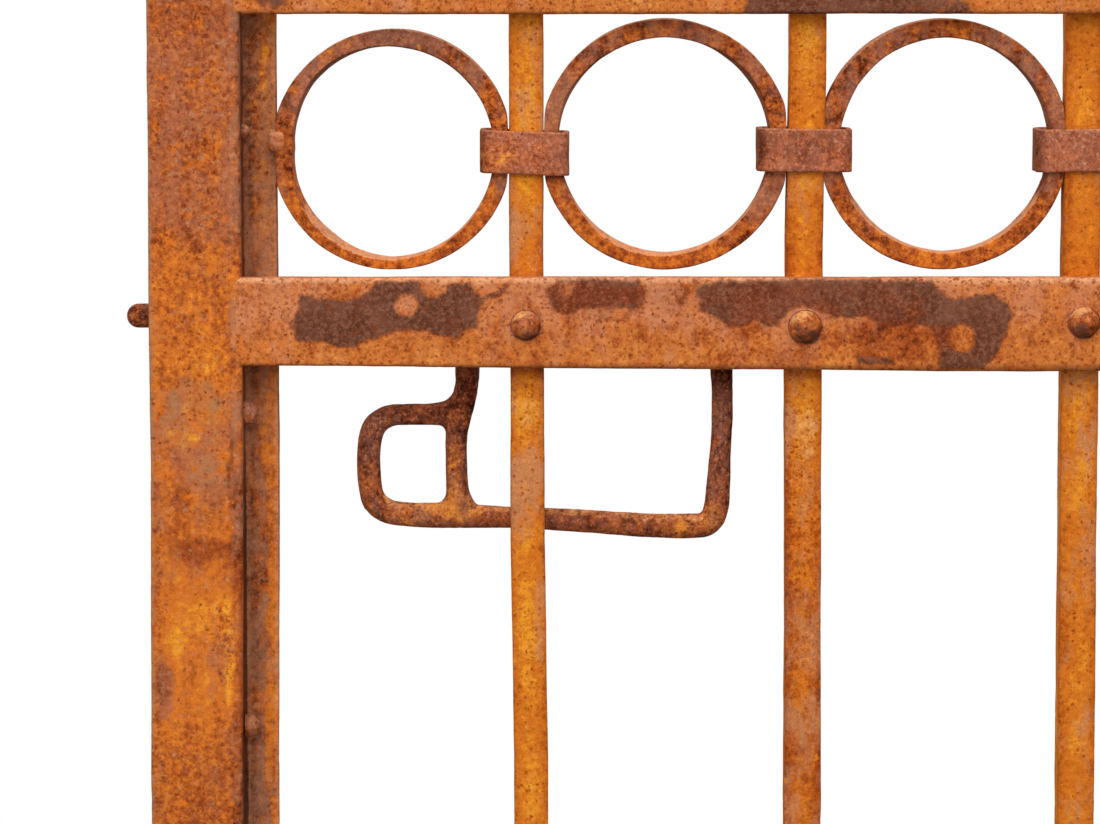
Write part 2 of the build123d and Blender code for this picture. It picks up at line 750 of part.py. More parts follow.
with BuildPart() as hinge_washers:
    for hinge_z in hinge_heights.values():
        with BuildSketch(Plane.XY.offset(hinge_z - eye_height / 2 - hinge_gap)):
            with Locations((pin_x, 0)):
                Circle(pin_radius + washer_margin)
                Circle(pin_radius + pin_running_clearance, mode=Mode.SUBTRACT)
        extrude(amount=-washer_thickness)
save(hinge_washers, "hinge_washers")
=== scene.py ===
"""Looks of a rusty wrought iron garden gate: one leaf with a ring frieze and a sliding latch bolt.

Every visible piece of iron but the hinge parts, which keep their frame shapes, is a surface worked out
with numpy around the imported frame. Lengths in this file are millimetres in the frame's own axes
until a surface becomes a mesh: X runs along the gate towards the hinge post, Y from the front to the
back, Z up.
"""

import logging
import math
from dataclasses import dataclass, field
from enum import Enum, StrEnum
from typing import Protocol

import bpy
import numpy as np
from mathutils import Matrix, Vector


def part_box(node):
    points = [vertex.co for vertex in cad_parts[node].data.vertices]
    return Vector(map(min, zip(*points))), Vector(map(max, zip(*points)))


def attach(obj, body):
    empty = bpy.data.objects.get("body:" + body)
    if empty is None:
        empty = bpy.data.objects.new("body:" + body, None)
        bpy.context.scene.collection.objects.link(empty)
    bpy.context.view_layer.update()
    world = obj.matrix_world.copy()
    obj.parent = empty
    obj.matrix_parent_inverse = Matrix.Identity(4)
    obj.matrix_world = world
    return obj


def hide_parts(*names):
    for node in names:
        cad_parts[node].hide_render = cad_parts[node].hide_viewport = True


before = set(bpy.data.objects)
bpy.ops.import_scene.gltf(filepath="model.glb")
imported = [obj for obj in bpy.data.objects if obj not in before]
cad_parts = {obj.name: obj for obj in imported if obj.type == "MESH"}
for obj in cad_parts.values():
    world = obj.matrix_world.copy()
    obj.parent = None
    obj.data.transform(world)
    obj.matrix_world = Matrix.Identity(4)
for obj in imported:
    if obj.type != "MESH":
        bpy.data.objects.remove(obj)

Rgb = tuple[int, int, int]
Point = tuple[float, float, float]
Steps = tuple[tuple[float, float], ...]  # pairs of a place and the value there
Socket = bpy.types.NodeSocket
Tree = bpy.types.NodeTree
Rows = tuple[tuple[float, ...], ...]
Spots = dict[str, Rows]  # placed from the leaf's lock edge and the middle of its lock rail
Array = np.ndarray

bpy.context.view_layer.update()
MM = 0.001
FULL_TURN = 2 * math.pi
RIGHT, BACK, UP = np.eye(3)
WHITE, BLACK = (1.0, 1.0, 1.0, 1.0), (0.0, 0.0, 0.0, 1.0)
LATTICE = 48  # cells along each side of the noise tables
NOISE_SHIFT = 137.0  # distance between the octaves of a noise, so that they don't repeat
SMOOTH_ANGLE = math.radians(48.0)  # edges sharper than this stay sharp
ARC_STEP = 0.45  # largest spacing of points on a rounded corner
WELDED = 0.2  # largest corner radius that counts as closed by a weld, so that it isn't worn
FLAKE_REACH = 6.0  # distance from a scale patch's outline at which its mark is 0 or 1
HEAD_SIDES, HEAD_RINGS, FOOT_RINGS = 56, 20, 5  # grid of a rivet head
# The second set holds pitting, edge wear that is painted highlight in places, and stains that are painted
# shade in places.
MARK_SETS = {"marks_a": ("tone", "mauve", "flake"), "marks_b": ("pitted", "worn", "stain")}
SOCKET_KINDS = {  # of the groups' sockets that aren't single numbers
    "Vector": "NodeSocketVector",
    **dict.fromkeys(("Color", "Deep", "Brown", "Orange", "Ochre"), "NodeSocketColor"),
}

log = logging.getLogger("gate")


class Body(Enum):
    """Bodies that the pieces made here move with."""

    LEAF = "gate_leaf"
    LATCH = "latch"


class Side(Enum):
    """The two upright edges of the leaf, as the direction from the outer edge inwards."""

    LOCK = 1
    HINGE = -1


class Slot(StrEnum):
    """Material slots of the record."""

    STILE = "stile_rust"
    INNER_ANGLE = "inner_angle_rust"
    RAIL = "rail_rust"
    BAR = "bar_rust"
    RING = "ring_rust"
    COLLAR = "collar_rust"
    RIVET = "rivet_rust"
    LATCH = "latch_rust"
    HINGE = "hinge_rust"


class Piece(Protocol):
    """A sub-assembly of the gate."""

    def build(self) -> None:
        """Make its meshes and dress them."""


@dataclass(frozen=True)
class NodeBox:
    """The box of a frame node, in millimetres."""

    low: Array
    high: Array

    @classmethod
    def of(cls, node: str) -> "NodeBox":
        """Read a node's box from the frame.

        Args:
            node: name of the frame node.

        Returns:
            Its lowest and highest corners in millimetres.
        """
        low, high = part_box(node)
        return cls(np.array(low) / MM, np.array(high) / MM)

    @classmethod
    def split(cls, node: str, axis: int, gap: float = 5.0) -> list["NodeBox"]:
        """Boxes of a node's separate pieces, split where its points leave a gap along an axis.

        Args:
            node: name of the frame node.
            axis: 0 for X, 1 for Y, 2 for Z.
            gap: least gap between two pieces.

        Returns:
            The boxes in rising order.
        """
        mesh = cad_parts[node].data
        flat = np.empty(len(mesh.vertices) * 3, np.float32)
        mesh.vertices.foreach_get("co", flat)
        points = flat.reshape(-1, 3) / MM
        points = points[np.argsort(points[:, axis])]
        cuts = np.nonzero(np.diff(points[:, axis]) > gap)[0] + 1
        return [cls(part.min(0), part.max(0)) for part in np.split(points, cuts)]

    @property
    def middle(self) -> Array:
        """Middle of the box."""
        return (self.low + self.high) / 2

    @property
    def size(self) -> Array:
        """Extent of the box along each axis."""
        return self.high - self.low


class Grain:
    """Seeded noise, worked out on whole arrays of points."""

    def __init__(self, seed: int) -> None:
        """Fill the lattice tables.

        Args:
            seed: start of the random draws.
        """
        draws = np.random.default_rng(seed)
        self.table = draws.uniform(-1.0, 1.0, (LATTICE, LATTICE, LATTICE)).astype(np.float32)
        self.jitter = draws.uniform(0.0, 1.0, (LATTICE, LATTICE, LATTICE, 4)).astype(np.float32)

    def wave(self, points: Array, length: float | Array) -> Array:
        """Lattice noise: corner values of each cell, blended by smoothstep weights on three axes.

        Args:
            points: array of points, the last axis being X, Y, Z.
            length: size of a lattice cell, one number or one for each axis.

        Returns:
            A value from -1 to 1 for each point.
        """
        scaled = points / length
        cell = np.floor(scaled).astype(np.int64)
        part = scaled - cell
        part = part * part * (3.0 - 2.0 * part)
        total = np.zeros(points.shape[:-1])
        for corner in np.ndindex(2, 2, 2):
            index = (cell + corner) % LATTICE
            weight = np.prod(np.where(np.array(corner) == 1, part, 1.0 - part), axis=-1)
            total += weight * self.table[index[..., 0], index[..., 1], index[..., 2]]
        return total

    def fractal(self, points: Array, length: float | Array, octaves: int) -> Array:
        """Sum of lattice noises, each of half the size and half the strength of the one before.

        Args:
            points: array of points.
            length: cell size of the first one.
            octaves: how many are summed.

        Returns:
            A value from about -1 to 1 for each point.
        """
        total = np.zeros(points.shape[:-1])
        strength = 1.0
        shift = 0.0
        for _ in range(octaves):
            total += strength * self.wave(points + shift, length)
            length = np.asarray(length) / 2.0
            strength /= 2.0
            shift += NOISE_SHIFT
        return total / 1.5

    def pits(self, points: Array, spacing: float, radius: float, share: Array) -> Array:
        """Round pits: one jittered centre in each lattice cell, and a bowl around those that are drawn.

        The depth is 1 - (distance / radius) squared, where the radius varies from pit to pit.

        Args:
            points: array of points.
            spacing: size of a lattice cell.
            radius: largest pit radius.
            share: share of the cells that hold a pit, for each point.

        Returns:
            Pit depth from 0 to 1 for each point.
        """
        scaled = points / spacing
        cell = np.floor(scaled).astype(np.int64)
        depth = np.zeros(points.shape[:-1])
        for step in np.ndindex(3, 3, 3):
            near = cell + np.array(step) - 1
            draw = self.jitter[near[..., 0] % LATTICE, near[..., 1] % LATTICE, near[..., 2] % LATTICE]
            gap = np.linalg.norm(near + draw[..., :3] - scaled, axis=-1) * spacing
            size = radius * (0.45 + 0.55 * draw[..., 0])
            bowl = np.clip(1.0 - (gap / size) ** 2, 0.0, 1.0)
            depth = np.maximum(depth, np.where(draw[..., 3] < share, bowl, 0.0))
        return depth


@dataclass
class Shell:
    """A surface being made: points in millimetres, faces, and marks that colour it."""

    points: Array
    faces: list[Array]
    marks: dict[str, Array] = field(default_factory=dict)

    def mark(self, name: str) -> Array:
        """Marks of one kind, 0 where none were set."""
        return self.marks.get(name, np.zeros(len(self.points)))

    def add(self, **amounts: Array | float) -> None:
        """Add to the marks, by their kind."""
        self.marks.update({kind: self.mark(kind) + amount for kind, amount in amounts.items()})

    def outward(self) -> "Shell":
        """Turn the faces over if the enclosed volume, summed over fans of triangles, is negative.

        Returns:
            The same shell.
        """
        volume = 0.0
        for group in self.faces:
            for k in range(1, group.shape[1] - 1):
                a, b, c = (self.points[group[:, i]] for i in (0, k, k + 1))
                volume += np.einsum("ij,ij->", a, np.cross(b, c))
        if volume < 0.0:
            self.faces = [group[:, ::-1] for group in self.faces]
        return self

    def normals(self) -> Array:
        """Point normals: the normals of the quads around each point, summed and made of length 1.

        Returns:
            A direction for each point.
        """
        total = np.zeros_like(self.points)
        for group in (g for g in self.faces if g.shape[1] == 4):
            corner = self.points[group]
            normal = np.cross(corner[:, 2] - corner[:, 0], corner[:, 3] - corner[:, 1])
            for axis in range(3):
                weights = np.repeat(normal[:, axis], 4)
                total[:, axis] += np.bincount(group.ravel(), weights, len(self.points))
        length = np.linalg.norm(total, axis=1, keepdims=True)
        return total / np.maximum(length, 1e-9)

    @staticmethod
    def join(shells: list["Shell"]) -> "Shell":
        """Put several shells into one.

        Args:
            shells: shells with their own points and faces.

        Returns:
            One shell holding them all.
        """
        starts = np.cumsum([0] + [len(s.points) for s in shells])
        faces = [group + start for s, start in zip(shells, starts) for group in s.faces]
        names = {name for s in shells for name in s.marks}
        marks = {name: np.concatenate([s.mark(name) for s in shells]) for name in names}
        return Shell(np.concatenate([s.points for s in shells]), faces, marks)


def to_mesh(name: str, shell: Shell) -> bpy.types.Mesh:
    """Put a shell into a new mesh, in metres.

    Args:
        name: name of the mesh.
        shell: the surface in millimetres.

    Returns:
        The mesh.
    """
    mesh = bpy.data.meshes.new(name)
    faces = [face for group in shell.faces for face in group.tolist()]
    mesh.from_pydata((shell.points * MM).tolist(), [], faces)
    return mesh


def to_scene(name: str, data: bpy.types.ID) -> bpy.types.Object:
    """Put a mesh, a light or a camera into the scene, at the origin.

    Args:
        name: name of the object.
        data: what it shows.

    Returns:
        The object.
    """
    piece = bpy.data.objects.new(name, data)
    bpy.context.scene.collection.objects.link(piece)
    return piece


def smoothstep(value: Array, low: float, high: float) -> Array:
    """Smooth step from 0 at low to 1 at high."""
    t = np.clip((value - low) / (high - low), 0.0, 1.0)
    return t * t * (3.0 - 2.0 * t)


def follow(place: Array, steps: Steps) -> Array:
    """Value at each place: straight between the steps and held beyond them."""
    return np.interp(place, *np.array(steps, float).T)


def headings(path: Array) -> Array:
    """Directions along a path: its slope at each station, made of length 1."""
    along = np.gradient(path, axis=0)
    return along / np.linalg.norm(along, axis=1, keepdims=True)


def corner_arc(back: Array, here: Array, ahead: Array, radius: float) -> Array:
    """Arc that rounds a corner and touches both of its sides.

    Args:
        back: the corner before.
        here: the corner.
        ahead: the corner after.
        radius: radius of the arc.

    Returns:
        Points from the side before to the side after.
    """
    u = (back - here) / np.linalg.norm(back - here)
    w = (ahead - here) / np.linalg.norm(ahead - here)
    half = math.acos(float(np.clip(u @ w, -1.0, 1.0))) / 2
    setback = radius / math.tan(half)
    centre = here + (u + w) / np.linalg.norm(u + w) * radius / math.sin(half)
    start, end = here + u * setback - centre, here + w * setback - centre
    turn = math.atan2(start[0] * end[1] - start[1] * end[0], start @ end)
    angle = np.linspace(0.0, turn, max(3, int(math.ceil(abs(turn) * radius / ARC_STEP)) + 1))[:, None]
    return centre + np.cos(angle) * start + np.sin(angle) * np.array([-start[1], start[0]])


def bent_line(corners: list[Point], step: float) -> Array:
    """Open line with rounded bends: an arc at each inner corner and even steps between.

    Args:
        corners: (x, y, radius) of each corner, the radius of the two ends being unused.
        step: largest spacing along the straight runs.

    Returns:
        Points along the line.
    """
    place = np.array([c[:2] for c in corners], float)
    turns = zip(place, place[1:], place[2:], corners[1:])
    bends = [corner_arc(back, here, ahead, corner[2]) for back, here, ahead, corner in turns]
    runs = [place[:1], *bends, place[-1:]]
    points = [runs[0]]
    for before, after in zip(runs, runs[1:]):
        gap = after[0] - before[-1]
        count = int(np.linalg.norm(gap) / step)
        points.append(before[-1] + (np.arange(1, count + 1) / (count + 1))[:, None] * gap)
        points.append(after)
    return np.concatenate(points)


@dataclass(frozen=True)
class Profile:
    """A closed outline with the nearness of each point to a rounded corner."""

    points: Array
    edge: Array

    @classmethod
    def rounded(cls, corners: list[Point], step: float, reach: float = 2.5) -> "Profile":
        """Polygon with rounded corners: straight runs between arcs that touch both sides.

        Args:
            corners: (x, y, radius) of each corner in order.
            step: largest spacing along the straight runs.
            reach: distance over which the edge mark fades from a corner.

        Returns:
            The outline, with an edge mark of 1 on the arcs that are wider than WELDED.
        """
        place = np.array([c[:2] for c in corners], float)
        turns = zip(np.roll(place, 1, axis=0), place, np.roll(place, -1, axis=0), corners)
        outline = [corner_arc(back, here, ahead, corner[2]) for back, here, ahead, corner in turns]
        points: list[Array] = []
        edge: list[Array] = []
        for i, arc in enumerate(outline):
            ends = [float(corners[k][2] > WELDED) for k in (i, (i + 1) % len(outline))]
            points.append(arc)
            edge.append(np.full(len(arc), ends[0]))
            nearest = outline[(i + 1) % len(outline)][0]
            run = float(np.linalg.norm(nearest - arc[-1]))
            count = int(run / step)
            if count > 0:
                t = np.arange(1, count + 1) / (count + 1)
                points.append(arc[-1] + t[:, None] * (nearest - arc[-1]))
                fade = [np.exp(-t * run / reach), np.exp((t - 1.0) * run / reach)]
                edge.append(np.maximum(ends[0] * fade[0], ends[1] * fade[1]))
        return cls(np.concatenate(points), np.concatenate(edge))

    @classmethod
    def bar(cls, width: float, depth: float, radius: float, step: float) -> "Profile":
        """Rectangle with rounded corners around the origin."""
        x, y = width / 2, depth / 2
        return cls.rounded([(-x, -y, radius), (x, -y, radius), (x, y, radius), (-x, y, radius)], step)

    @classmethod
    def rod(cls, radius: float, count: int) -> "Profile":
        """Circle around the origin."""
        angle = np.linspace(0.0, FULL_TURN, count, endpoint=False)
        return cls(radius * np.stack([np.cos(angle), np.sin(angle)], axis=1), np.zeros(count))


def grid_faces(rows: int, columns: int, wrap_rows: bool) -> Array:
    """Quads between neighbouring points of a grid that is closed along its columns.

    Args:
        rows: number of rows.
        columns: points in a row.
        wrap_rows: whether the last row joins the first.

    Returns:
        Array of quads.
    """
    row = np.arange(rows if wrap_rows else rows - 1)[:, None]
    column = np.arange(columns)[None, :]
    ahead, aside = (row + 1) % rows, (column + 1) % columns
    corners = ((row, column), (row, aside), (ahead, aside), (ahead, column))
    return np.stack([i * columns + j for i, j in corners], axis=-1).reshape(-1, 4)


def end_caps(rows: int, columns: int) -> list[Array]:
    """Faces that close the first and the last row of a grid, turned the same way as its quads."""
    ring = np.arange(columns)[None, :]
    return [ring[:, ::-1], (rows - 1) * columns + ring]


def sweep(
    profile: Profile,
    centre: Array,
    across: Array,
    up: Array,
    scale: Array | float = 1.0,
    closed: bool = False,
    end_round: float = 0.0,
) -> Shell:
    """Profile carried along a path: point = centre + scale * (x * across + y * up) at each station.

    Args:
        profile: closed outline.
        centre: stations along the path.
        across: direction of the outline's x, one for all stations or one for each.
        up: direction of the outline's y, likewise.
        scale: size of the outline, one number or pairs for its two axes at the stations.
        closed: whether the path ends where it starts.
        end_round: radius of the rounding of the two open ends.

    Returns:
        A closed shell with its edge marks.
    """
    count = len(centre)
    size = np.broadcast_to(scale, (count, 2))
    flat = profile.points[None, :, :] * size[:, None, :]
    worn = np.broadcast_to(profile.edge, (count, len(profile.edge))).copy()
    if not closed and end_round > 0.0:
        ahead = np.roll(profile.points, -1, axis=0) - np.roll(profile.points, 1, axis=0)
        area = np.sum(profile.points[:, 0] * np.roll(profile.points[:, 1], -1)
                      - np.roll(profile.points[:, 0], -1) * profile.points[:, 1])
        out = np.stack([ahead[:, 1], -ahead[:, 0]], axis=1) * np.sign(area)
        out /= np.linalg.norm(out, axis=1, keepdims=True)
        travel = np.concatenate([[0.0], np.cumsum(np.linalg.norm(np.diff(centre, axis=0), axis=1))])
        from_end = np.minimum(travel, travel[-1] - travel)
        lack = np.clip(1.0 - from_end / end_round, 0.0, 1.0)
        inset = end_round * (1.0 - np.sqrt(1.0 - lack**2))
        flat = flat - out[None] * inset[:, None, None]
        worn = np.maximum(worn, np.exp(-from_end / (2 * end_round))[:, None])
    across, up = (np.broadcast_to(way, centre.shape)[:, None, :] for way in (across, up))
    points = centre[:, None, :] + flat[..., :1] * across + flat[..., 1:] * up
    columns = points.shape[1]
    faces = [grid_faces(count, columns, closed)]
    if not closed:
        faces += end_caps(count, columns)
    return Shell(points.reshape(-1, 3), faces, {"worn": worn.ravel()}).outward()


def straight(start: Array, end: Array, step: float, ends: float) -> Array:
    """Stations on a straight line, with three closer ones in each end's rounding.

    Args:
        start: first point.
        end: last point.
        step: largest spacing.
        ends: length of the rounded ends.

    Returns:
        Array of points.
    """
    length = float(np.linalg.norm(end - start))
    inner = np.linspace(ends, length - ends, max(2, int(length / step)))
    close = ends * np.array([0.0, 0.06, 0.25, 0.6])
    travel = np.concatenate([close, inner, length - close[::-1]])
    return start + travel[:, None] * (end - start) / length


def dome(centre: Array, axis: Array, radius: float, rise: float, foot: float = 0.0) -> Shell:
    """Rivet head: a spherical cap turned round its axis, with a hollow, flaring foot below its rim.

    Args:
        centre: middle of the seat.
        axis: unit direction from the seat to the top.
        radius: radius at the seat.
        rise: height of the top above the seat.
        foot: how far the foot spreads beyond the radius, or 0 for a short wall instead.

    Returns:
        A closed shell.
    """
    sphere = (radius**2 + rise**2) / (2 * rise)
    reach = math.atan2(radius, sphere - rise)
    turn = np.linspace(0.0, FULL_TURN, HEAD_SIDES, endpoint=False)
    fall = np.concatenate([np.linspace(0.02, 1.0, HEAD_RINGS), np.full(FOOT_RINGS, 1.0)]) * reach
    distance = sphere * np.sin(fall)
    height = rise - sphere * (1.0 - np.cos(fall))
    flare = np.linspace(0.2, 1.0, FOOT_RINGS)
    distance[-FOOT_RINGS:] += foot * flare**2
    height[-FOOT_RINGS:] = 0.5 * foot * (1.0 - flare) ** 1.5 - 0.3 * flare
    side = np.cross(axis, UP if abs(axis[2]) < 0.9 else RIGHT)
    side /= np.linalg.norm(side)
    other = np.cross(axis, side)
    ring = np.cos(turn)[:, None] * side + np.sin(turn)[:, None] * other
    points = centre + distance[:, None, None] * ring[None] + height[:, None, None] * axis
    faces = [grid_faces(len(fall), HEAD_SIDES, False), *end_caps(len(fall), HEAD_SIDES)]
    worn = 0.6 * np.clip(1.0 - fall / reach, 0.0, 1.0)
    stain = 0.7 * np.concatenate([np.linspace(0.0, 1.0, HEAD_RINGS) ** 8, 0.8 - 0.8 * flare])
    marks = {"worn": np.repeat(worn, HEAD_SIDES), "stain": np.repeat(stain, HEAD_SIDES)}
    return Shell(points.reshape(-1, 3), faces, marks).outward()


@dataclass(frozen=True)
class Forging:
    """How a hand-made and rusted surface departs from its plain form, in millimetres."""

    wave: float = 0.30
    wave_length: float = 85.0
    hammer: float = 0.14
    hammer_length: float = 13.0
    crust: float = 0.07
    crust_length: float = 3.2
    scale: float = 0.12
    pit: float = 0.22
    pit_spacing: float = 4.6
    pit_radius: float = 1.7
    pit_share: float = 0.45

    def apply(self, shell: Shell, grain: Grain) -> None:
        """Move each point along its normal by waves, hammer marks, crust, scale and pits, if it isn't still.

        Args:
            shell: surface to change.
            grain: noise to use.
        """
        at = shell.points
        share = np.clip(self.pit_share * (0.6 + shell.mark("pitted")), 0.0, 1.0)
        pits = grain.pits(at, self.pit_spacing, self.pit_radius, share)
        height = self.wave * grain.fractal(at, self.wave_length, 2)
        height += self.hammer * grain.fractal(at + 53.0, self.hammer_length, 2)
        height += self.crust * grain.fractal(at + 211.0, self.crust_length, 2)
        height += self.scale * np.clip(shell.mark("flake") * 4.0 - 2.0, 0.0, 1.0) - self.pit * pits
        height *= 1.0 - shell.mark("still")
        shell.points = at + shell.normals() * height[:, None]


ANGLE_FORGING = Forging()
RAIL_FORGING = Forging(wave=0.35)
BAR_FORGING = Forging(wave=0.35, wave_length=60.0)
RING_FORGING = Forging(wave=0.25, wave_length=40.0, hammer=0.18, hammer_length=10.0)
COLLAR_FORGING = Forging(wave=0.25, wave_length=22.0, hammer=0.16, hammer_length=8.0)
HANDLE_FORGING = Forging(wave=0.35, wave_length=26.0, hammer=0.2, hammer_length=9.0, crust=0.09, pit=0.2)
FINE_FORGING = Forging(wave=0.05, wave_length=30.0, hammer=0.05, hammer_length=9.0, crust=0.03, pit=0.12)
RIVET_FORGING = Forging(
    wave=0.3, wave_length=9.0, hammer=0.2, hammer_length=4.0, crust=0.1, crust_length=2.0, pit=0.25
)
LUMP_FORGING = Forging(
    wave=1.0, wave_length=7.0, hammer=0.6, hammer_length=3.2, crust=0.2, crust_length=1.6
)


def inside_distance(at: Array, outline: Array) -> Array:
    """Signed distance to a closed polygon, positive inside it.

    The distance is the least one to any side, and a point is inside where a ray to +X crosses an
    odd number of sides.

    Args:
        at: points, as an array of pairs.
        outline: corners of the polygon.

    Returns:
        Distance for each point.
    """
    nearest = np.full(len(at), np.inf)
    inside = np.zeros(len(at), bool)
    for a, b in zip(outline, np.roll(outline, -1, axis=0)):
        side = b - a
        t = np.clip((at - a) @ side / (side @ side), 0.0, 1.0)
        nearest = np.minimum(nearest, np.linalg.norm(at - a - t[:, None] * side, axis=1))
        crosses = (a[1] > at[:, 1]) != (b[1] > at[:, 1])
        reach = a[0] + (at[:, 1] - a[1]) * side[0] / (side[1] if side[1] else 1e-9)
        inside ^= crosses & (at[:, 0] < reach)
    return np.where(inside, nearest, -nearest)


def to_flake(distance: Array) -> Array:
    """Turn a signed distance into a scale mark, which is 0.5 on the outline."""
    return np.clip(0.5 + distance / (2 * FLAKE_REACH), 0.0, 1.0)


def srgb(colour: Rgb) -> tuple[float, float, float, float]:
    """Linear colour of a display colour, by the curve of sRGB.

    Args:
        colour: red, green and blue from 0 to 255.

    Returns:
        The linear colour, opaque.
    """
    share = np.array(colour) / 255.0
    linear = np.where(share <= 0.04045, share / 12.92, ((share + 0.055) / 1.055) ** 2.4)
    return (*linear.tolist(), 1.0)


class Graph:
    """Short way to lay out the nodes of one tree."""

    def __init__(self, tree: Tree) -> None:
        """Keep the tree that the nodes go into."""
        self.tree = tree

    @classmethod
    def emptied(cls, owner: bpy.types.Material | bpy.types.World) -> "Graph":
        """Graph of a material or a world, without the nodes that it starts with.

        Args:
            owner: the material or world.

        Returns:
            Its graph.
        """
        owner.use_nodes = True
        owner.node_tree.nodes.clear()
        return cls(owner.node_tree)

    def add(self, kind: str, inputs: dict | None = None, **settings: object) -> bpy.types.Node:
        """Add a node.

        Args:
            kind: node type.
            inputs: values or sockets for its inputs, by name or number.
            settings: properties of the node.

        Returns:
            The node.
        """
        node = self.tree.nodes.new(kind)
        for name, value in settings.items():
            setattr(node, name, value)
        for key, value in (inputs or {}).items():
            if isinstance(value, Socket):
                self.tree.links.new(value, node.inputs[key])
            else:
                node.inputs[key].default_value = value
        return node

    def math(self, operation: str, *terms: object) -> Socket:
        """Result of a Math node on up to three terms."""
        return self.add("ShaderNodeMath", dict(enumerate(terms)), operation=operation).outputs[0]

    def blend(self, share: object, low: object, high: object) -> Socket:
        """Colour that goes from low to high as share goes from 0 to 1."""
        return self.add("ShaderNodeMix", {0: share, 6: low, 7: high}, data_type="RGBA").outputs[2]

    def smooth(self, value: object, low: object, high: object) -> Socket:
        """Smooth step from 0 at low to 1 at high."""
        inputs = {"Value": value, "From Min": low, "From Max": high}
        return self.add("ShaderNodeMapRange", inputs, interpolation_type="SMOOTHSTEP").outputs[0]

    def noise(self, at: object, scale: object, detail: float, roughness: float) -> Socket:
        """Noise from 0 to 1 at the points of a vector socket."""
        inputs = {"Vector": at, "Scale": scale, "Detail": detail, "Roughness": roughness}
        return self.add("ShaderNodeTexNoise", inputs).outputs[0]

    def wander(self, at: object, scale: object, detail: float, roughness: float) -> Socket:
        """Noise that wanders about 0, by half at most."""
        return self.math("SUBTRACT", self.noise(at, scale, detail, roughness), 0.5)

    def drawn_out(self, at: object, share: float) -> Socket:
        """Coordinates whose Z counts for a share only, so that a pattern on them is drawn out along Z."""
        inputs = {0: at, 1: (1.0, 1.0, share)}
        return self.add("ShaderNodeVectorMath", inputs, operation="MULTIPLY").outputs[0]

    def tint(self, colour: object, mask: object, strength: float, over: Rgb) -> Socket:
        """Colour with another one laid over it by a mask at a strength."""
        return self.blend(self.math("MULTIPLY", mask, strength), colour, srgb(over))

    def group(self, tree: Tree, **inputs: object) -> bpy.types.Node:
        """Place a node group, with values or sockets for its inputs by name."""
        return self.add("ShaderNodeGroup", inputs, node_tree=tree)

    def put_out(self, **results: Socket) -> Tree:
        """Link the results of a node group to its outputs by name, and hand back its tree."""
        self.add("NodeGroupOutput", results)
        return self.tree

    def seen(self) -> Socket:
        """Mask of the rays that show the background.

        Returns:
            1 for the camera and for what it sees in metal or through glass, 0 for light.
        """
        path = self.add("ShaderNodeLightPath")
        mirrored = self.math("MAXIMUM", path.outputs["Is Camera Ray"], path.outputs["Is Glossy Ray"])
        return self.math("MAXIMUM", mirrored, path.outputs["Is Transmission Ray"])


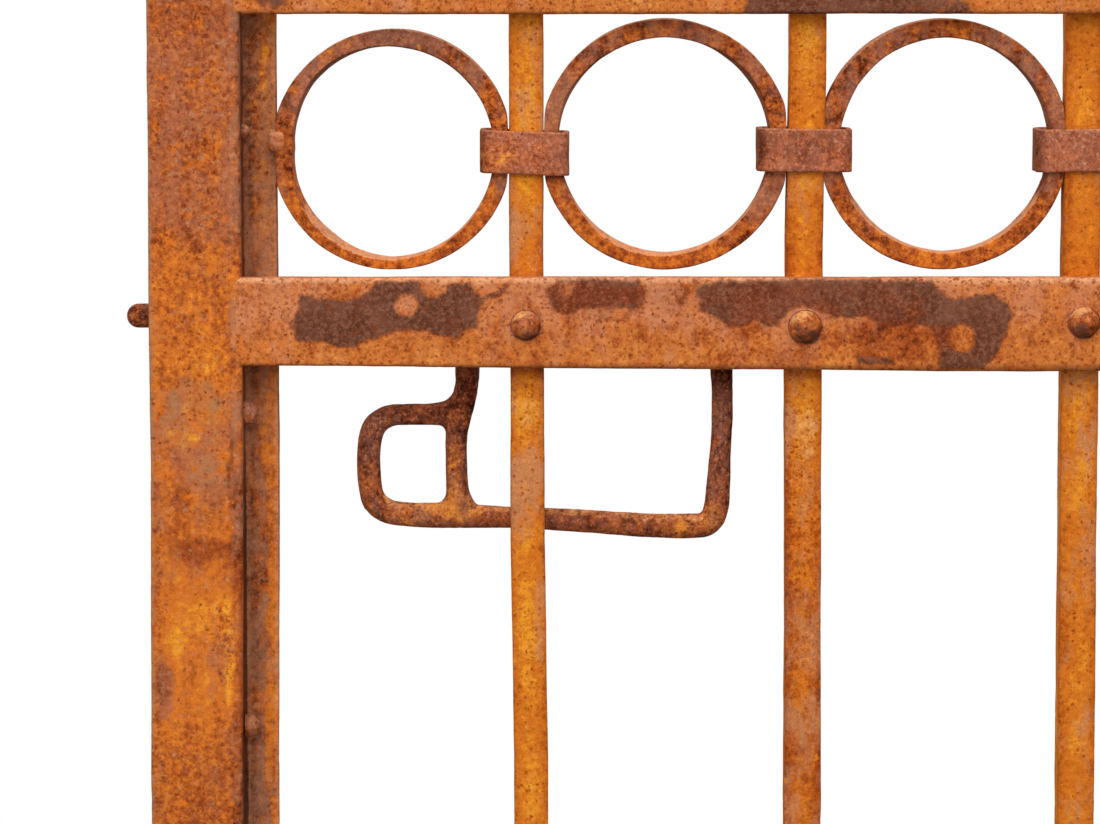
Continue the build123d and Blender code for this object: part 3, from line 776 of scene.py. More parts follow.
class RustGroups:
    """The shader groups that every iron finish shares."""

    def __init__(self) -> None:
        """Build each group once."""
        self.mottle = self._mottle()
        self.pits = self._pits()
        self.flecks = self._flecks()
        self.patch = self._patch()
        self.veil = self._veil()
        self.colours = self._colours()
        self.streaks = self._streaks()
        self.worn = self._wear_and_highlight()

    @staticmethod
    def _open(name: str, inputs: str, outputs: str) -> tuple[Graph, dict[str, Socket]]:
        """Start a group.

        Args:
            name: name of the group.
            inputs: names of its input sockets, with spaces between.
            outputs: names of its output sockets.

        Returns:
            Its graph, and its input sockets by name.
        """
        tree = bpy.data.node_groups.new(name, "ShaderNodeTree")
        for direction, labels in (("INPUT", inputs), ("OUTPUT", outputs)):
            for label in labels.split():
                kind = SOCKET_KINDS.get(label, "NodeSocketFloat")
                tree.interface.new_socket(label, in_out=direction, socket_type=kind)
        graph = Graph(tree)
        entry = graph.add("NodeGroupInput")
        return graph, {label: entry.outputs[label] for label in inputs.split()}

    def _mottle(self) -> Tree:
        """Tone that wanders about 0: broad clouds, and crumbs whose octaves are nearly of one strength.

        Returns:
            The group.
        """
        g, i = self._open("rust_mottle", "Vector Scale Broad Fine", "Tone Crumbs")
        shape = {"Detail": 5.0, "Roughness": 0.64, "Distortion": 0.6}
        noise = g.add("ShaderNodeTexNoise", {"Vector": i["Vector"], "Scale": i["Scale"], **shape})
        broad = g.math("SUBTRACT", noise.outputs[0], 0.5)
        crumbs = g.wander(i["Vector"], scale=320.0, detail=3.0, roughness=0.78)
        tone = g.math("MULTIPLY_ADD", crumbs, i["Fine"], g.math("MULTIPLY", broad, i["Broad"]))
        return g.put_out(Tone=tone, Crumbs=crumbs)

    def _pits(self) -> Tree:
        """Dark pits: some cells of a Voronoi pattern with wobbling outlines, each of its own size and depth.

        Returns:
            The group.
        """
        g, i = self._open("rust_pits", "Vector Scale Size Share", "Mask Depth")
        often = g.math("MULTIPLY", i["Scale"], 1.6)
        wobble = g.add("ShaderNodeTexNoise", {"Vector": i["Vector"], "Scale": often, "Detail": 2.0})
        reach = g.math("DIVIDE", 1.25, i["Scale"])
        shift = g.add("ShaderNodeVectorMath", {0: wobble.outputs[1], "Scale": reach}, operation="SCALE")
        bent = g.add("ShaderNodeVectorMath", {0: i["Vector"], 1: shift.outputs[0]}, operation="ADD")
        cells = g.add("ShaderNodeTexVoronoi", {"Vector": bent.outputs[0], "Scale": i["Scale"]})
        draw = g.add("ShaderNodeSeparateColor", {0: cells.outputs["Color"]})
        size = g.math("MULTIPLY", i["Size"], g.math("MULTIPLY_ADD", draw.outputs[1], 0.65, 0.35))
        away = g.smooth(cells.outputs["Distance"], g.math("MULTIPLY", size, 0.35), size)
        drawn = g.math("LESS_THAN", draw.outputs[0], i["Share"])
        dark = g.math("MULTIPLY", drawn, g.math("MULTIPLY_ADD", draw.outputs[2], 0.65, 0.35))
        mask = g.math("MULTIPLY", g.math("SUBTRACT", 1.0, away), dark)
        return g.put_out(Mask=mask, Depth=g.math("MULTIPLY", mask, mask))

    def _flecks(self) -> Tree:
        """Ragged flecks: where noise rises above a level.

        Returns:
            The group.
        """
        g, i = self._open("rust_flecks", "Vector Scale Level", "Mask")
        value = g.noise(i["Vector"], i["Scale"], detail=3.0, roughness=0.62)
        return g.put_out(Mask=g.smooth(value, i["Level"], g.math("ADD", i["Level"], 0.09)))

    def _patch(self) -> Tree:
        """Patch of dark scale with a ragged outline, from a mark that is 0.5 on the outline.

        Returns:
            The group.
        """
        g, i = self._open("scale_patch", "Vector Mark Ragged", "Mask Rim")
        ragged = g.wander(i["Vector"], scale=250.0, detail=4.0, roughness=0.72)
        level = g.math("MULTIPLY_ADD", ragged, i["Ragged"], i["Mark"])
        away = g.math("ABSOLUTE", g.math("SUBTRACT", level, 0.48))
        rim = g.math("SUBTRACT", 1.0, g.smooth(away, 0.0, 0.1))
        return g.put_out(Mask=g.smooth(level, 0.43, 0.57), Rim=rim)

    def _veil(self) -> Tree:
        """Greyish veil: where noise, drawn out a little along Z, rises above a level set by a mark.

        Returns:
            The group.
        """
        g, i = self._open("rust_veil", "Vector Mark", "Mask")
        cloud = g.wander(g.drawn_out(i["Vector"], 0.4), scale=130.0, detail=5.0, roughness=0.68)
        level = g.math("MULTIPLY_ADD", cloud, 2.2, g.math("SUBTRACT", i["Mark"], 0.25))
        return g.put_out(Mask=g.smooth(level, -0.15, 0.4))

    def _colours(self) -> Tree:
        """Rust colour by tone: deep at 0, brown at a third, orange at 0.64 and ochre at 1.

        Returns:
            The group.
        """
        g, i = self._open("iron_colours", "Tone Deep Brown Orange Ochre", "Color")
        low = g.blend(g.smooth(i["Tone"], 0.02, 0.36), i["Deep"], i["Brown"])
        middle = g.blend(g.smooth(i["Tone"], 0.30, 0.64), low, i["Orange"])
        return g.put_out(Color=g.blend(g.smooth(i["Tone"], 0.64, 1.0), middle, i["Ochre"]))

    def _streaks(self) -> Tree:
        """Rain streaks about 0: noise on coordinates that are drawn out along Z.

        Returns:
            The group.
        """
        g, i = self._open("rain_streaks", "Vector Scale", "Tone")
        return g.put_out(Tone=g.wander(g.drawn_out(i["Vector"], 0.11), i["Scale"], detail=4.0, roughness=0.7))

    def _wear_and_highlight(self) -> Tree:
        """Worn edges, and painted highlights where pieces set this mark for them: the mark broken up by
        noise.

        Returns:
            The group.
        """
        g, i = self._open("wear_and_highlight_edges", "Vector Mark", "Mask")
        broken = g.wander(i["Vector"], scale=160.0, detail=3.0, roughness=0.6)
        level = g.math("MULTIPLY_ADD", broken, 1.3, i["Mark"])
        return g.put_out(Mask=g.smooth(level, 0.55, 1.15))


@dataclass(frozen=True)
class RustFinish:
    """One rust finish: its colours from 0 to 255, and the size and strength of its patterns."""

    slot: Slot
    tone: float = 0.5
    broad: float = 0.6
    fine: float = 1.5
    streaks: float = 0.2
    deep: Rgb = (90, 34, 10)
    brown: Rgb = (166, 80, 34)
    orange: Rgb = (209, 114, 40)
    ochre: Rgb = (231, 150, 44)
    mauve: Rgb = (178, 112, 82)
    scale: Rgb = (92, 48, 32)
    speck: Rgb = (150, 92, 66)
    red_scale: Rgb = (98, 37, 15)
    red_speck: Rgb = (150, 82, 54)
    pit: Rgb = (134, 54, 18)
    pale: Rgb = (222, 150, 102)
    bright: Rgb = (238, 138, 22)
    # Colour of worn edges and of painted highlights.
    worn: Rgb = (206, 138, 96)
    # Colour of stains and of painted shade.
    stain: Rgb = (44, 18, 8)
    veil: float = 0.06
    grit: float = 0.3
    grit_scale: float = 1300.0
    cloud_scale: float = 74.0
    streak_scale: float = 210.0
    pit_scale: float = 390.0
    pit_size: float = 0.62
    pit_share: float = 0.5
    pit_strength: float = 0.9
    pale_scale: float = 610.0
    pale_level: float = 0.6
    pale_strength: float = 0.25
    bright_scale: float = 200.0
    bright_level: float = 0.67
    bright_strength: float = 0.6
    veil_strength: float = 0.7
    wear_and_highlight_strength: float = 0.4
    ragged: float = 0.42
    roughness: float = 0.88
    specular: float = 0.05
    bump_strength: float = 0.8
    bump_depth: float = 0.0008

    def material(self, groups: RustGroups) -> bpy.types.Material:
        """Lay out the finish as a material.

        Args:
            groups: the shared rust groups.

        Returns:
            The material.
        """
        material = bpy.data.materials.new(f"{self.slot}_finish")
        g = Graph.emptied(material)
        at = g.add("ShaderNodeTexCoord").outputs["Object"]
        marks: dict[str, Socket] = {}
        for label, names in MARK_SETS.items():
            read = g.add("ShaderNodeAttribute", attribute_name=label)
            split = g.add("ShaderNodeSeparateXYZ", {0: read.outputs["Vector"]})
            marks.update(zip(names, split.outputs))
        fine = g.math("MULTIPLY_ADD", marks["pitted"], 0.9 * self.fine, self.fine)
        fine = g.math("MAXIMUM", fine, 0.4 * self.fine)
        mottle = g.group(groups.mottle, Vector=at, Scale=self.cloud_scale, Broad=self.broad, Fine=fine)
        crumbs = mottle.outputs["Crumbs"]
        pitted = g.math("ADD", marks["pitted"], self.pit_share)
        pits = g.group(groups.pits, Vector=at, Scale=self.pit_scale, Size=self.pit_size, Share=pitted)
        fewer = g.math("MULTIPLY", pitted, 0.9)
        specks = g.group(groups.pits, Vector=at, Scale=1.6 * self.pit_scale, Size=self.pit_size, Share=fewer)
        patch = g.group(groups.patch, Vector=at, Mark=marks["flake"], Ragged=self.ragged)

        colour = self._iron(g, groups, at, marks, mottle.outputs["Tone"])
        # Lighter towards the worn colour: worn edges, and painted highlight where pieces set this mark for
        # it.
        worn = g.group(groups.worn, Vector=at, Mark=marks["worn"]).outputs["Mask"]
        colour = g.tint(colour, worn, self.wear_and_highlight_strength, self.worn)
        hole = g.math("MAXIMUM", pits.outputs["Mask"], g.math("MULTIPLY", specks.outputs["Mask"], 0.8))
        colour = g.tint(colour, hole, self.pit_strength, self.pit)
        colour = self._scale(g, groups, at, colour, patch, marks["tone"])
        # Darker towards the stain colour: real stains, and painted shade where pieces set this mark for it.
        colour = g.blend(marks["stain"], colour, srgb(self.stain))
        grit = g.wander(at, self.grit_scale, detail=2.0, roughness=0.7)
        value = g.math("MULTIPLY_ADD", grit, self.grit, g.math("MULTIPLY_ADD", crumbs, self.grit, 1.0))
        colour = g.add("ShaderNodeHueSaturation", {"Color": colour, "Value": value}).outputs[0]

        height = g.math("MULTIPLY_ADD", grit, 0.15, g.math("MULTIPLY", crumbs, 0.5))
        height = g.math("MULTIPLY_ADD", pits.outputs["Depth"], -0.18, height)
        height = g.math("MULTIPLY_ADD", specks.outputs["Depth"], -0.1, height)
        height = g.math("MULTIPLY_ADD", patch.outputs["Mask"], 0.3, height)
        relief = {"Strength": self.bump_strength, "Distance": self.bump_depth, "Height": height}
        shader = g.add("ShaderNodeBsdfPrincipled", {
            "Base Color": colour,
            "Roughness": g.math("MULTIPLY_ADD", patch.outputs["Mask"], -0.1, self.roughness),
            "Normal": g.add("ShaderNodeBump", relief).outputs[0],
            "Specular IOR Level": self.specular,
        })
        g.add("ShaderNodeOutputMaterial", {"Surface": shader.outputs[0]})
        return material

    def _iron(
        self, g: Graph, groups: RustGroups, at: object, marks: dict[str, Socket], mottle: object
    ) -> Socket:
        """Colour of the rust itself: tones, greyish veil, and bright and pale flecks.

        Args:
            g: graph of the material.
            groups: the shared rust groups.
            at: object coordinates.
            marks: sockets of the marks by name.
            mottle: tone of the mottle.

        Returns:
            The colour.
        """
        streak = g.group(groups.streaks, Vector=at, Scale=self.streak_scale).outputs["Tone"]
        tone = g.math("ADD", mottle, g.math("ADD", marks["tone"], self.tone))
        tone = g.math("MULTIPLY_ADD", streak, self.streaks, tone)
        iron = {"Deep": self.deep, "Brown": self.brown, "Orange": self.orange, "Ochre": self.ochre}
        iron = {name: srgb(colour) for name, colour in iron.items()}
        colour = g.group(groups.colours, Tone=tone, **iron).outputs["Color"]
        cover = g.math("ADD", marks["mauve"], self.veil)
        veil = g.group(groups.veil, Vector=at, Mark=cover).outputs["Mask"]
        colour = g.tint(colour, veil, self.veil_strength, self.mauve)
        level = g.math("MULTIPLY_ADD", cover, -0.08, self.bright_level)
        bright = g.group(groups.flecks, Vector=at, Scale=self.bright_scale, Level=level).outputs["Mask"]
        colour = g.tint(colour, bright, self.bright_strength, self.bright)
        level = g.math("MULTIPLY_ADD", cover, -0.1, self.pale_level)
        pale = g.group(groups.flecks, Vector=at, Scale=self.pale_scale, Level=level).outputs["Mask"]
        return g.tint(colour, pale, self.pale_strength, self.pale)

    def _scale(
        self, g: Graph, groups: RustGroups, at: object, colour: object, patch: bpy.types.Node, tone: object
    ) -> Socket:
        """Lay dark scale over a colour: speckled, redder where the tone mark is low, with a reddish rim.

        Args:
            g: graph of the material.
            groups: the shared rust groups.
            at: object coordinates.
            colour: colour of the bare rust.
            patch: node of the patch group.
            tone: socket of the tone mark.

        Returns:
            The colour.
        """
        low = g.smooth(g.math("MULTIPLY", tone, -1.0), 0.04, 0.26)
        dark = g.blend(low, srgb(self.scale), srgb(self.red_scale))
        light = g.blend(low, srgb(self.speck), srgb(self.red_speck))
        cloud = g.smooth(g.noise(at, scale=560.0, detail=3.0, roughness=0.8), 0.4, 0.68)
        crust = g.blend(cloud, dark, light)
        worn = g.smooth(g.noise(at, scale=55.0, detail=4.0, roughness=0.6), 0.42, 0.68)
        worn = g.math("MULTIPLY", worn, g.math("MULTIPLY_ADD", low, -0.3, 0.5))
        crust = g.blend(worn, crust, light)
        red = g.group(groups.flecks, Vector=at, Scale=420.0, Level=0.58).outputs["Mask"]
        crust = g.tint(crust, red, 0.6, self.pit)
        colour = g.tint(colour, patch.outputs["Rim"], 0.35, self.pit)
        return g.blend(g.math("MULTIPLY", patch.outputs["Mask"], 0.92), colour, crust)


FINISHES = (
    RustFinish(
        Slot.STILE, broad=0.75, fine=1.1, grit=0.55, streaks=0.4, mauve=(172, 104, 72), pit=(132, 54, 22),
        bright=(216, 108, 8), bright_level=0.645, pale=(186, 132, 94), pale_scale=330.0, pale_level=0.61,
        pale_strength=0.5, worn=(166, 116, 78), wear_and_highlight_strength=0.7,
    ),
    RustFinish(
        Slot.INNER_ANGLE, broad=0.9, grit=0.7, streaks=0.45, mauve=(170, 114, 84), pit_share=0.3,
        stain=(58, 36, 28), pale=(186, 134, 104), pale_scale=330.0, pale_strength=0.4,
    ),
    RustFinish(
        Slot.RAIL, tone=0.54, broad=1.0, fine=1.0, grit=0.55, streaks=0.0, orange=(202, 114, 52),
        ochre=(222, 146, 72), mauve=(204, 132, 92), scale=(76, 40, 28), speck=(128, 84, 66), veil=0.14,
        pit=(126, 48, 18), pit_scale=330.0, pit_share=1.0, bright=(216, 98, 32), bright_level=0.64,
        worn=(226, 168, 124), wear_and_highlight_strength=0.6,
    ),
    RustFinish(
        Slot.BAR, tone=0.75, broad=0.8, fine=0.7, pit=(152, 62, 14), pit_share=0.24, grit=0.65,
        pit_strength=1.0, brown=(168, 76, 20), orange=(206, 112, 30), ochre=(232, 150, 42),
        mauve=(192, 130, 88), veil=0.1, worn=(224, 156, 96), wear_and_highlight_strength=0.75,
    ),
    RustFinish(
        Slot.RING, tone=0.3, broad=1.0, fine=1.6, grit=0.5, streaks=0.0, pit_share=0.4,
        mauve=(158, 104, 82), veil=0.4, worn=(218, 152, 110), wear_and_highlight_strength=0.7,
    ),
    RustFinish(
        Slot.COLLAR, tone=0.34, broad=1.0, fine=1.8, grit=0.95, streaks=0.0, pit_share=0.4,
        pale=(214, 162, 130), pale_strength=0.34, orange=(196, 112, 66), mauve=(168, 100, 76), veil=0.2,
        bright=(214, 112, 44), bright_level=0.7,
    ),
    RustFinish(
        Slot.RIVET, tone=0.46, broad=1.0, fine=1.2, grit=0.5, pit=(112, 50, 26), pit_share=0.7,
        wear_and_highlight_strength=0.75, pale_level=0.58, pale_strength=0.5, mauve=(182, 120, 94), veil=0.3,
        worn=(222, 160, 98), scale=(84, 46, 32), speck=(120, 76, 56),
    ),
    RustFinish(
        Slot.LATCH, tone=0.42, broad=1.2, fine=1.3, grit=1.15, streaks=0.0, veil=0.25, deep=(54, 22, 12),
        brown=(116, 56, 34), orange=(164, 86, 44), ochre=(214, 128, 48), pit=(68, 26, 14),
        mauve=(142, 90, 72), bright=(206, 104, 26), bright_level=0.63, pit_share=0.55, pale_scale=640.0,
        pale_level=0.59, pale_strength=0.3, pale=(194, 136, 110), worn=(222, 152, 92), wear_and_highlight_strength=0.6,
    ),
    RustFinish(Slot.HINGE, tone=0.4, pit_share=0.4),
)


class Workshop:
    """Turns shells into finished pieces of the scene."""

    def __init__(self) -> None:
        """Lay out the material of each finish."""
        groups = RustGroups()
        self.finishes = {finish.slot: finish.material(groups) for finish in FINISHES}

    def place(self, node: str, shell: Shell, slot: Slot, body: Body) -> None:
        """Make a piece that stands for one frame node.

        Args:
            node: the node that it replaces.
            shell: its surface in millimetres.
            slot: material slot of the record.
            body: the body that it moves with.
        """
        name = f"{node}_iron"
        mesh = to_mesh(name, shell)
        for label, names in MARK_SETS.items():
            values = np.stack([shell.mark(kind) for kind in names], axis=1).astype(np.float32)
            mesh.attributes.new(label, "FLOAT_VECTOR", "POINT").data.foreach_set("vector", values.ravel())
        mesh.shade_smooth()
        mesh.set_sharp_from_angle(angle=SMOOTH_ANGLE)
        piece = to_scene(name, mesh)
        mesh.materials.append(self.finishes[slot])
        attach(piece, body.value)
        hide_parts(node)
        log.info("%s: %d points", name, len(shell.points))

    def dress(self, node: str, slot: Slot) -> None:
        """Give a frame node that keeps its own shape a better material.

        Args:
            node: the node.
            slot: material slot whose finish it takes.
        """
        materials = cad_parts[node].data.materials
        materials.clear()
        materials.append(self.finishes[slot])
        log.info("%s keeps its shape", node)


STEP = 1.5  # spacing of points along the long pieces
EDGE = float(NodeBox.of("lock_stile").low[0])  # the leaf's lock edge, from which X is placed
RAIL = float(NodeBox.of("lock_rail").middle[2])  # middle of the lock rail, from which Z is placed
HINGE_NODES = (
    "lower_hinge_eye", "upper_hinge_eye", "hinge_eye_rivets", "lower_pintle_bracket", "upper_pintle_bracket",
    "lower_pintle_pin", "upper_pintle_pin", "hinge_washers",
)
CLOUDS = {"tone": (0.0, 46.0, 3), "mauve": (71.0, 34.0, 3), "pitted": (19.0, 40.0, 2)}  # shift, size, octaves


@dataclass
class Weather:
    """Marks on a surface: clouds from noise, bands by height, and spots at known places, some of them painted
    shade.
    """

    grain: Grain

    def clouds(self, shell: Shell, tone: float, mauve: float, pitted: float) -> Shell:
        """Add broad, irregular marks.

        Args:
            shell: surface to mark.
            tone: strength of the lighter and darker clouds.
            mauve: strength of the greyish veil.
            pitted: strength of the change in pitting.

        Returns:
            The same shell.
        """
        for kind, amount in (("tone", tone), ("mauve", mauve), ("pitted", pitted)):
            shift, length, octaves = CLOUDS[kind]
            shell.add(**{kind: amount * self.grain.fractal(shell.points + shift, length, octaves)})
        return shell

    def bands(self, shell: Shell, kind: str, steps: Steps) -> None:
        """Add a mark that follows height above the lock rail, with a ragged border between levels.

        Args:
            shell: surface to mark.
            kind: name of the mark.
            steps: heights in rising order with the mark at each.
        """
        ragged = shell.points[:, 2] - RAIL + 6.0 * self.grain.fractal(shell.points + 31.0, 18.0, 3)
        shell.add(**{kind: follow(ragged, steps)})

    def spots(self, shell: Shell, spots: Spots) -> None:
        """Add soft oval spots with ragged borders.

        Args:
            shell: surface to mark.
            spots: for each kind of mark, rows of x, z, the radii along both, and the amount.
        """
        x, z = shell.points[:, 0] - EDGE, shell.points[:, 2] - RAIL
        ragged = 0.4 * self.grain.fractal(shell.points + 87.0, 7.0, 3)
        placed = ((kind, *row) for kind, rows in spots.items() for row in rows)
        for kind, x0, z0, rx, rz, amount in placed:
            reach = np.hypot((x - x0) / rx, (z - z0) / rz) + ragged
            shell.add(**{kind: amount * smoothstep(-reach, -1.3, -0.5)})

    def scale(self, shell: Shell, share: float) -> None:
        """Set scale patches where noise rises above a level.

        Args:
            shell: surface to mark.
            share: noise level of the outlines, lower for more scale.
        """
        level = self.grain.fractal(shell.points + 113.0, np.array([46.0, 46.0, 24.0]), 3) - share
        shell.marks["flake"] = to_flake(level * 22.0)


@dataclass
class Smith:
    """What every piece of the gate is made with."""

    workshop: Workshop
    grain: Grain
    weather: Weather

    def forge(
        self, node: str, shell: Shell, forging: Forging, slot: Slot,
        body: Body = Body.LEAF, rear: float = math.inf,
    ) -> None:
        """Roughen a shell and make it a piece of the scene.

        Args:
            node: the frame node that it replaces.
            shell: its plain surface.
            forging: how its surface departs from that.
            slot: material slot of the record.
            body: the body that it moves with.
            rear: largest Y that its points may have.
        """
        forging.apply(shell, self.grain)
        shell.points[:, 1] = np.minimum(shell.points[:, 1], rear)
        self.workshop.place(node, shell, slot, body)


STILE_SPOTS: Spots = {
    "tone": (
        (32.7, 110.6, 3.5, 4, 0.28), (23.6, 97.6, 1.8, 6, 0.22), (32.7, 79.9, 1.8, 6, 0.22),
        (22, -17.7, 14, 7, 0.12), (15.5, -38.5, 2.2, 2.2, 0.35), (13.7, -53.9, 2.8, 2.8, 0.35),
        (18.7, -50.6, 3.5, 2.4, 0.35), (9, -48, 2.4, 3.4, 0.3), (13.5, -76.5, 4.5, 8, -0.22),
        (24.2, -129.4, 6, 10, 0.16), (30.8, -126.6, 4.5, 6, 0.25), (10, -144, 4.5, 11, 0.2),
        (34, -147, 2.4, 31, 0.25), (22.6, -169.3, 4.5, 22, 0.1), (22, -101, 16, 6, -0.2),
        (12, -112, 8, 6, 0.12), (12, -137, 9, 16, 0.18), (31, -143, 4.5, 20, -0.1),
        (4.6, -161, 4.4, 14, -0.26), (11, -176, 3.5, 14, 0.12), (26, -178, 8, 14, -0.08),
        (38.5, 0, 2.6, 21, 0.2),
    ),
    "mauve": (
        (30.9, 92.9, 3.5, 5, 0.3), (19.1, 65.2, 7, 11, 0.12), (34.5, 70.5, 3, 13, 0.2),
        (37.5, 2, 3, 15, 0.45), (9.7, -42.7, 6, 5, 0.2), (12.9, -56.6, 5, 6, 0.2), (21.9, -64, 7, 7, 0.2),
        (27.8, -70.4, 7, 10, 0.2), (5, -161, 5, 16, 0.5), (30.8, -146.3, 4.5, 15, 0.3),
        (26.4, -163.7, 2.6, 6, 0.3), (3.4, -140, 1.4, 60, 0.3), (34, -116, 5, 8, 0.3),
    ),
    "pitted": ((3.4, -140, 0.9, 60, 0.9), (32, -143, 5, 20, 1)),
    "stain": (
        (2.4, -140, 0.5, 70, 0.22), (4, -160, 3.4, 13, 0.16), (36.2, -55, 0.7, 9, 0.5),
        (34.6, -68, 0.7, 9, 0.5), (40.2, -15, 0.6, 2.4, 0.8),
    ),
    "worn": ((21, -31, 15, 10, 0.82), (29, -46, 5, 13, 0.7), (9, -44, 5, 12, 0.78), (24, -66, 9, 11, 0.84)),
}
STILE_BOW: Steps = ((-825, 0), (-400, -1.3), (-191, -1.1), (-122, -0.5), (-60, 0), (170, 0))
STILE_BANDS: dict[str, Steps] = {
    "tone": (
        (-190, -0.06), (-180, -0.03), (-172, 0.06), (-125, 0.1), (-115, 0.04), (-97, 0), (-90, 0.03),
        (-70, 0.03), (-50, 0.1), (-34, 0.12), (-26, 0.1), (30, 0.07), (42, -0.1),
    ),
    "mauve": (
        (-125, 0), (-97, 0), (-90, 0.36), (-60, 0.36), (-34, 0.26), (-28, 0), (30, 0.05), (42, 0.4),
    ),
    "pitted": (
        (-188, 0.1), (-180, 0.05), (-172, -0.4), (-100, -0.4), (-90, -0.2), (-34, -0.2), (-28, 0.15),
        (30, 0.15), (42, 0.3),
    ),
}
SEAM_STRIP: Steps = ((-110, 0.14), (-60, 0.1), (-24, 0.03), (30, 0))
# Tone and greyness by height on the inner angle's outer strip, which is painted as lit.
INNER_GLOW: Steps = ((-120, 0.2), (-60, 0.12), (20, 0), (80, 0.02), (110, 0.16))
INNER_GREY: Steps = ((-60, 0.1), (20, 0.55), (80, 0.55), (110, 0.3))


@dataclass
class StileAngles:
    """The two riveted angles at one upright edge of the leaf.

    The inner angle laps behind the stile a little, and stands back from its ends and its front. The
    rivet heads above the lock rail have the share upper_heads of the size of the others.
    """

    smith: Smith
    side: Side
    flange: float = 36.0
    thick: float = 5.0
    inner_thick: float = 4.5
    inner_lap: float = 1.2
    end_step: float = 0.4
    front_step: float = 0.02
    head_rise: float = 6.0
    tail_rise: float = 3.5
    upper_heads: float = 0.6
    name: str = field(init=False)
    edge: float = field(init=False)

    def __post_init__(self) -> None:
        """Find the name of this side and the X of the leaf's edge on it."""
        self.name = self.side.name.lower()
        box = NodeBox.of(f"{self.name}_stile")
        self.edge = float((box.low if self.side is Side.LOCK else box.high)[0])

    def build(self) -> None:
        """Make the outer stile, the inner angle and their rivets."""
        self._stile()
        self._inner()
        self._rivets()

    def _path(self, low: float, high: float) -> Array:
        """Path of an angle from bottom to top.

        Args:
            low: height of its bottom.
            high: height of its top.

        Returns:
            Stations along the leaf's edge.
        """
        centre = straight(np.array([self.edge, 0.0, low]), np.array([self.edge, 0.0, high]), STEP, 1.0)
        if self.side is Side.LOCK:
            centre[:, 0] += follow(centre[:, 2] - RAIL, STILE_BOW)
        return centre

    def _stile(self) -> None:
        """Outer angle: a wide front flange with a web that goes back along its inner side."""
        node = f"{self.name}_stile"
        box = NodeBox.of(node)
        front, rear = box.low[1], box.high[1]
        web, back = self.flange - self.thick, front + self.thick
        corners = [(0.0, front, 1.0), (self.flange, front, 0.1), (self.flange, rear, 0.8),
                   (web, rear, 0.8), (web, back, 2.5), (0.0, back, 1.0)]
        path = self._path(box.low[2], box.high[2])
        shell = sweep(Profile.rounded(corners, STEP), path, self.side.value * RIGHT, BACK)
        self._front_marks(shell)
        self._hold(shell)
        self.smith.forge(node, shell, ANGLE_FORGING, Slot.STILE, rear=rear)

    def _front_marks(self, shell: Shell) -> None:
        """Marks of the front: redder and darker towards the inner side, partly painted shade, with placed
        marks on the lock side.

        Args:
            shell: surface to mark.
        """
        weather = self.smith.weather
        if self.side is Side.LOCK:
            weather.clouds(shell, 0.12, 0.12, 0.15)
            for kind, steps in STILE_BANDS.items():
                weather.bands(shell, kind, steps)
            weather.spots(shell, STILE_SPOTS)
        else:
            weather.clouds(shell, 0.16, 0.3, 0.3)
        # Towards the inner side, and most in the strip by the seam, the front is painted redder and darker:
        # partly rust colour, partly painted shade as on a rounded edge.
        inward = np.abs(shell.points[:, 0] - self.edge)
        strip = follow(shell.points[:, 2] - RAIL, SEAM_STRIP)
        step = smoothstep(inward, self.flange - 1.6, self.flange + 0.6)
        redder = 0.16 * smoothstep(inward, self.flange - 4.0, self.flange + 5.0) + strip * step
        shell.add(tone=-redder, mauve=0.5 * strip * step, pitted=-0.4 * step)

    def _inner(self) -> None:
        """Inner angle: one leg to the front beside the stile, the other inwards at the back."""
        node = f"{self.name}_inner_angle"
        box = NodeBox.of(node)
        front, rear = box.low[1] + self.front_step, box.high[1]
        seat, leg = self.flange - self.inner_lap, self.flange + self.inner_thick
        reach, back = self.flange + box.size[0], rear - self.inner_thick
        corners = [(seat, front, 0.1), (leg, front, 2.2), (leg, back, 2.0), (reach, back, 1.1),
                   (reach, rear, 1.0), (seat, rear, 0.8)]
        path = self._path(box.low[2] + self.end_step, box.high[2] - self.end_step)
        shell = sweep(Profile.rounded(corners, STEP), path, self.side.value * RIGHT, BACK)
        self._inner_marks(shell, box)
        self._hold(shell)
        self.smith.forge(node, shell, ANGLE_FORGING, Slot.INNER_ANGLE, rear=rear)

    def _inner_marks(self, shell: Shell, box: NodeBox) -> None:
        """Marks of the inner angle: its front edge goes on from the stile, its back leg is greyer, with
        painted shade and a strip painted as lit.

        Args:
            shell: surface to mark.
            box: box of the angle.
        """
        leg, reach = self.flange + self.inner_thick, self.flange + box.size[0]
        rest = self.smith.weather.clouds(Shell(shell.points, []), 0.1, 0.15, 0.2)
        inward, deep = np.abs(shell.points[:, 0] - self.edge), shell.points[:, 1] - box.low[1]
        height = shell.points[:, 2] - RAIL
        ragged = 3.0 * self.smith.grain.fractal(shell.points, np.array([3.0, 6.0, 30.0]), 4)
        # The outer strip of the back leg is painted as lit, and the rest is painted darker.
        lit = smoothstep(inward + ragged, reach - 7.0, reach - 5.5)
        glow, grey = follow(height, INNER_GLOW), follow(height, INNER_GREY)
        high = smoothstep(height, 10.0, 60.0)
        tan = smoothstep(inward + ragged, leg + 2.0, leg + 9.0)
        tone = (glow + 0.12) * lit - 0.2 + high * (0.26 * tan - 0.04) - 0.1 * smoothstep(-height, 70.0, 110.0)
        rest.add(tone=tone, mauve=0.36 * (1.0 - lit) + grey * lit, pitted=0.3 * high - 0.3 * (1.0 - high))
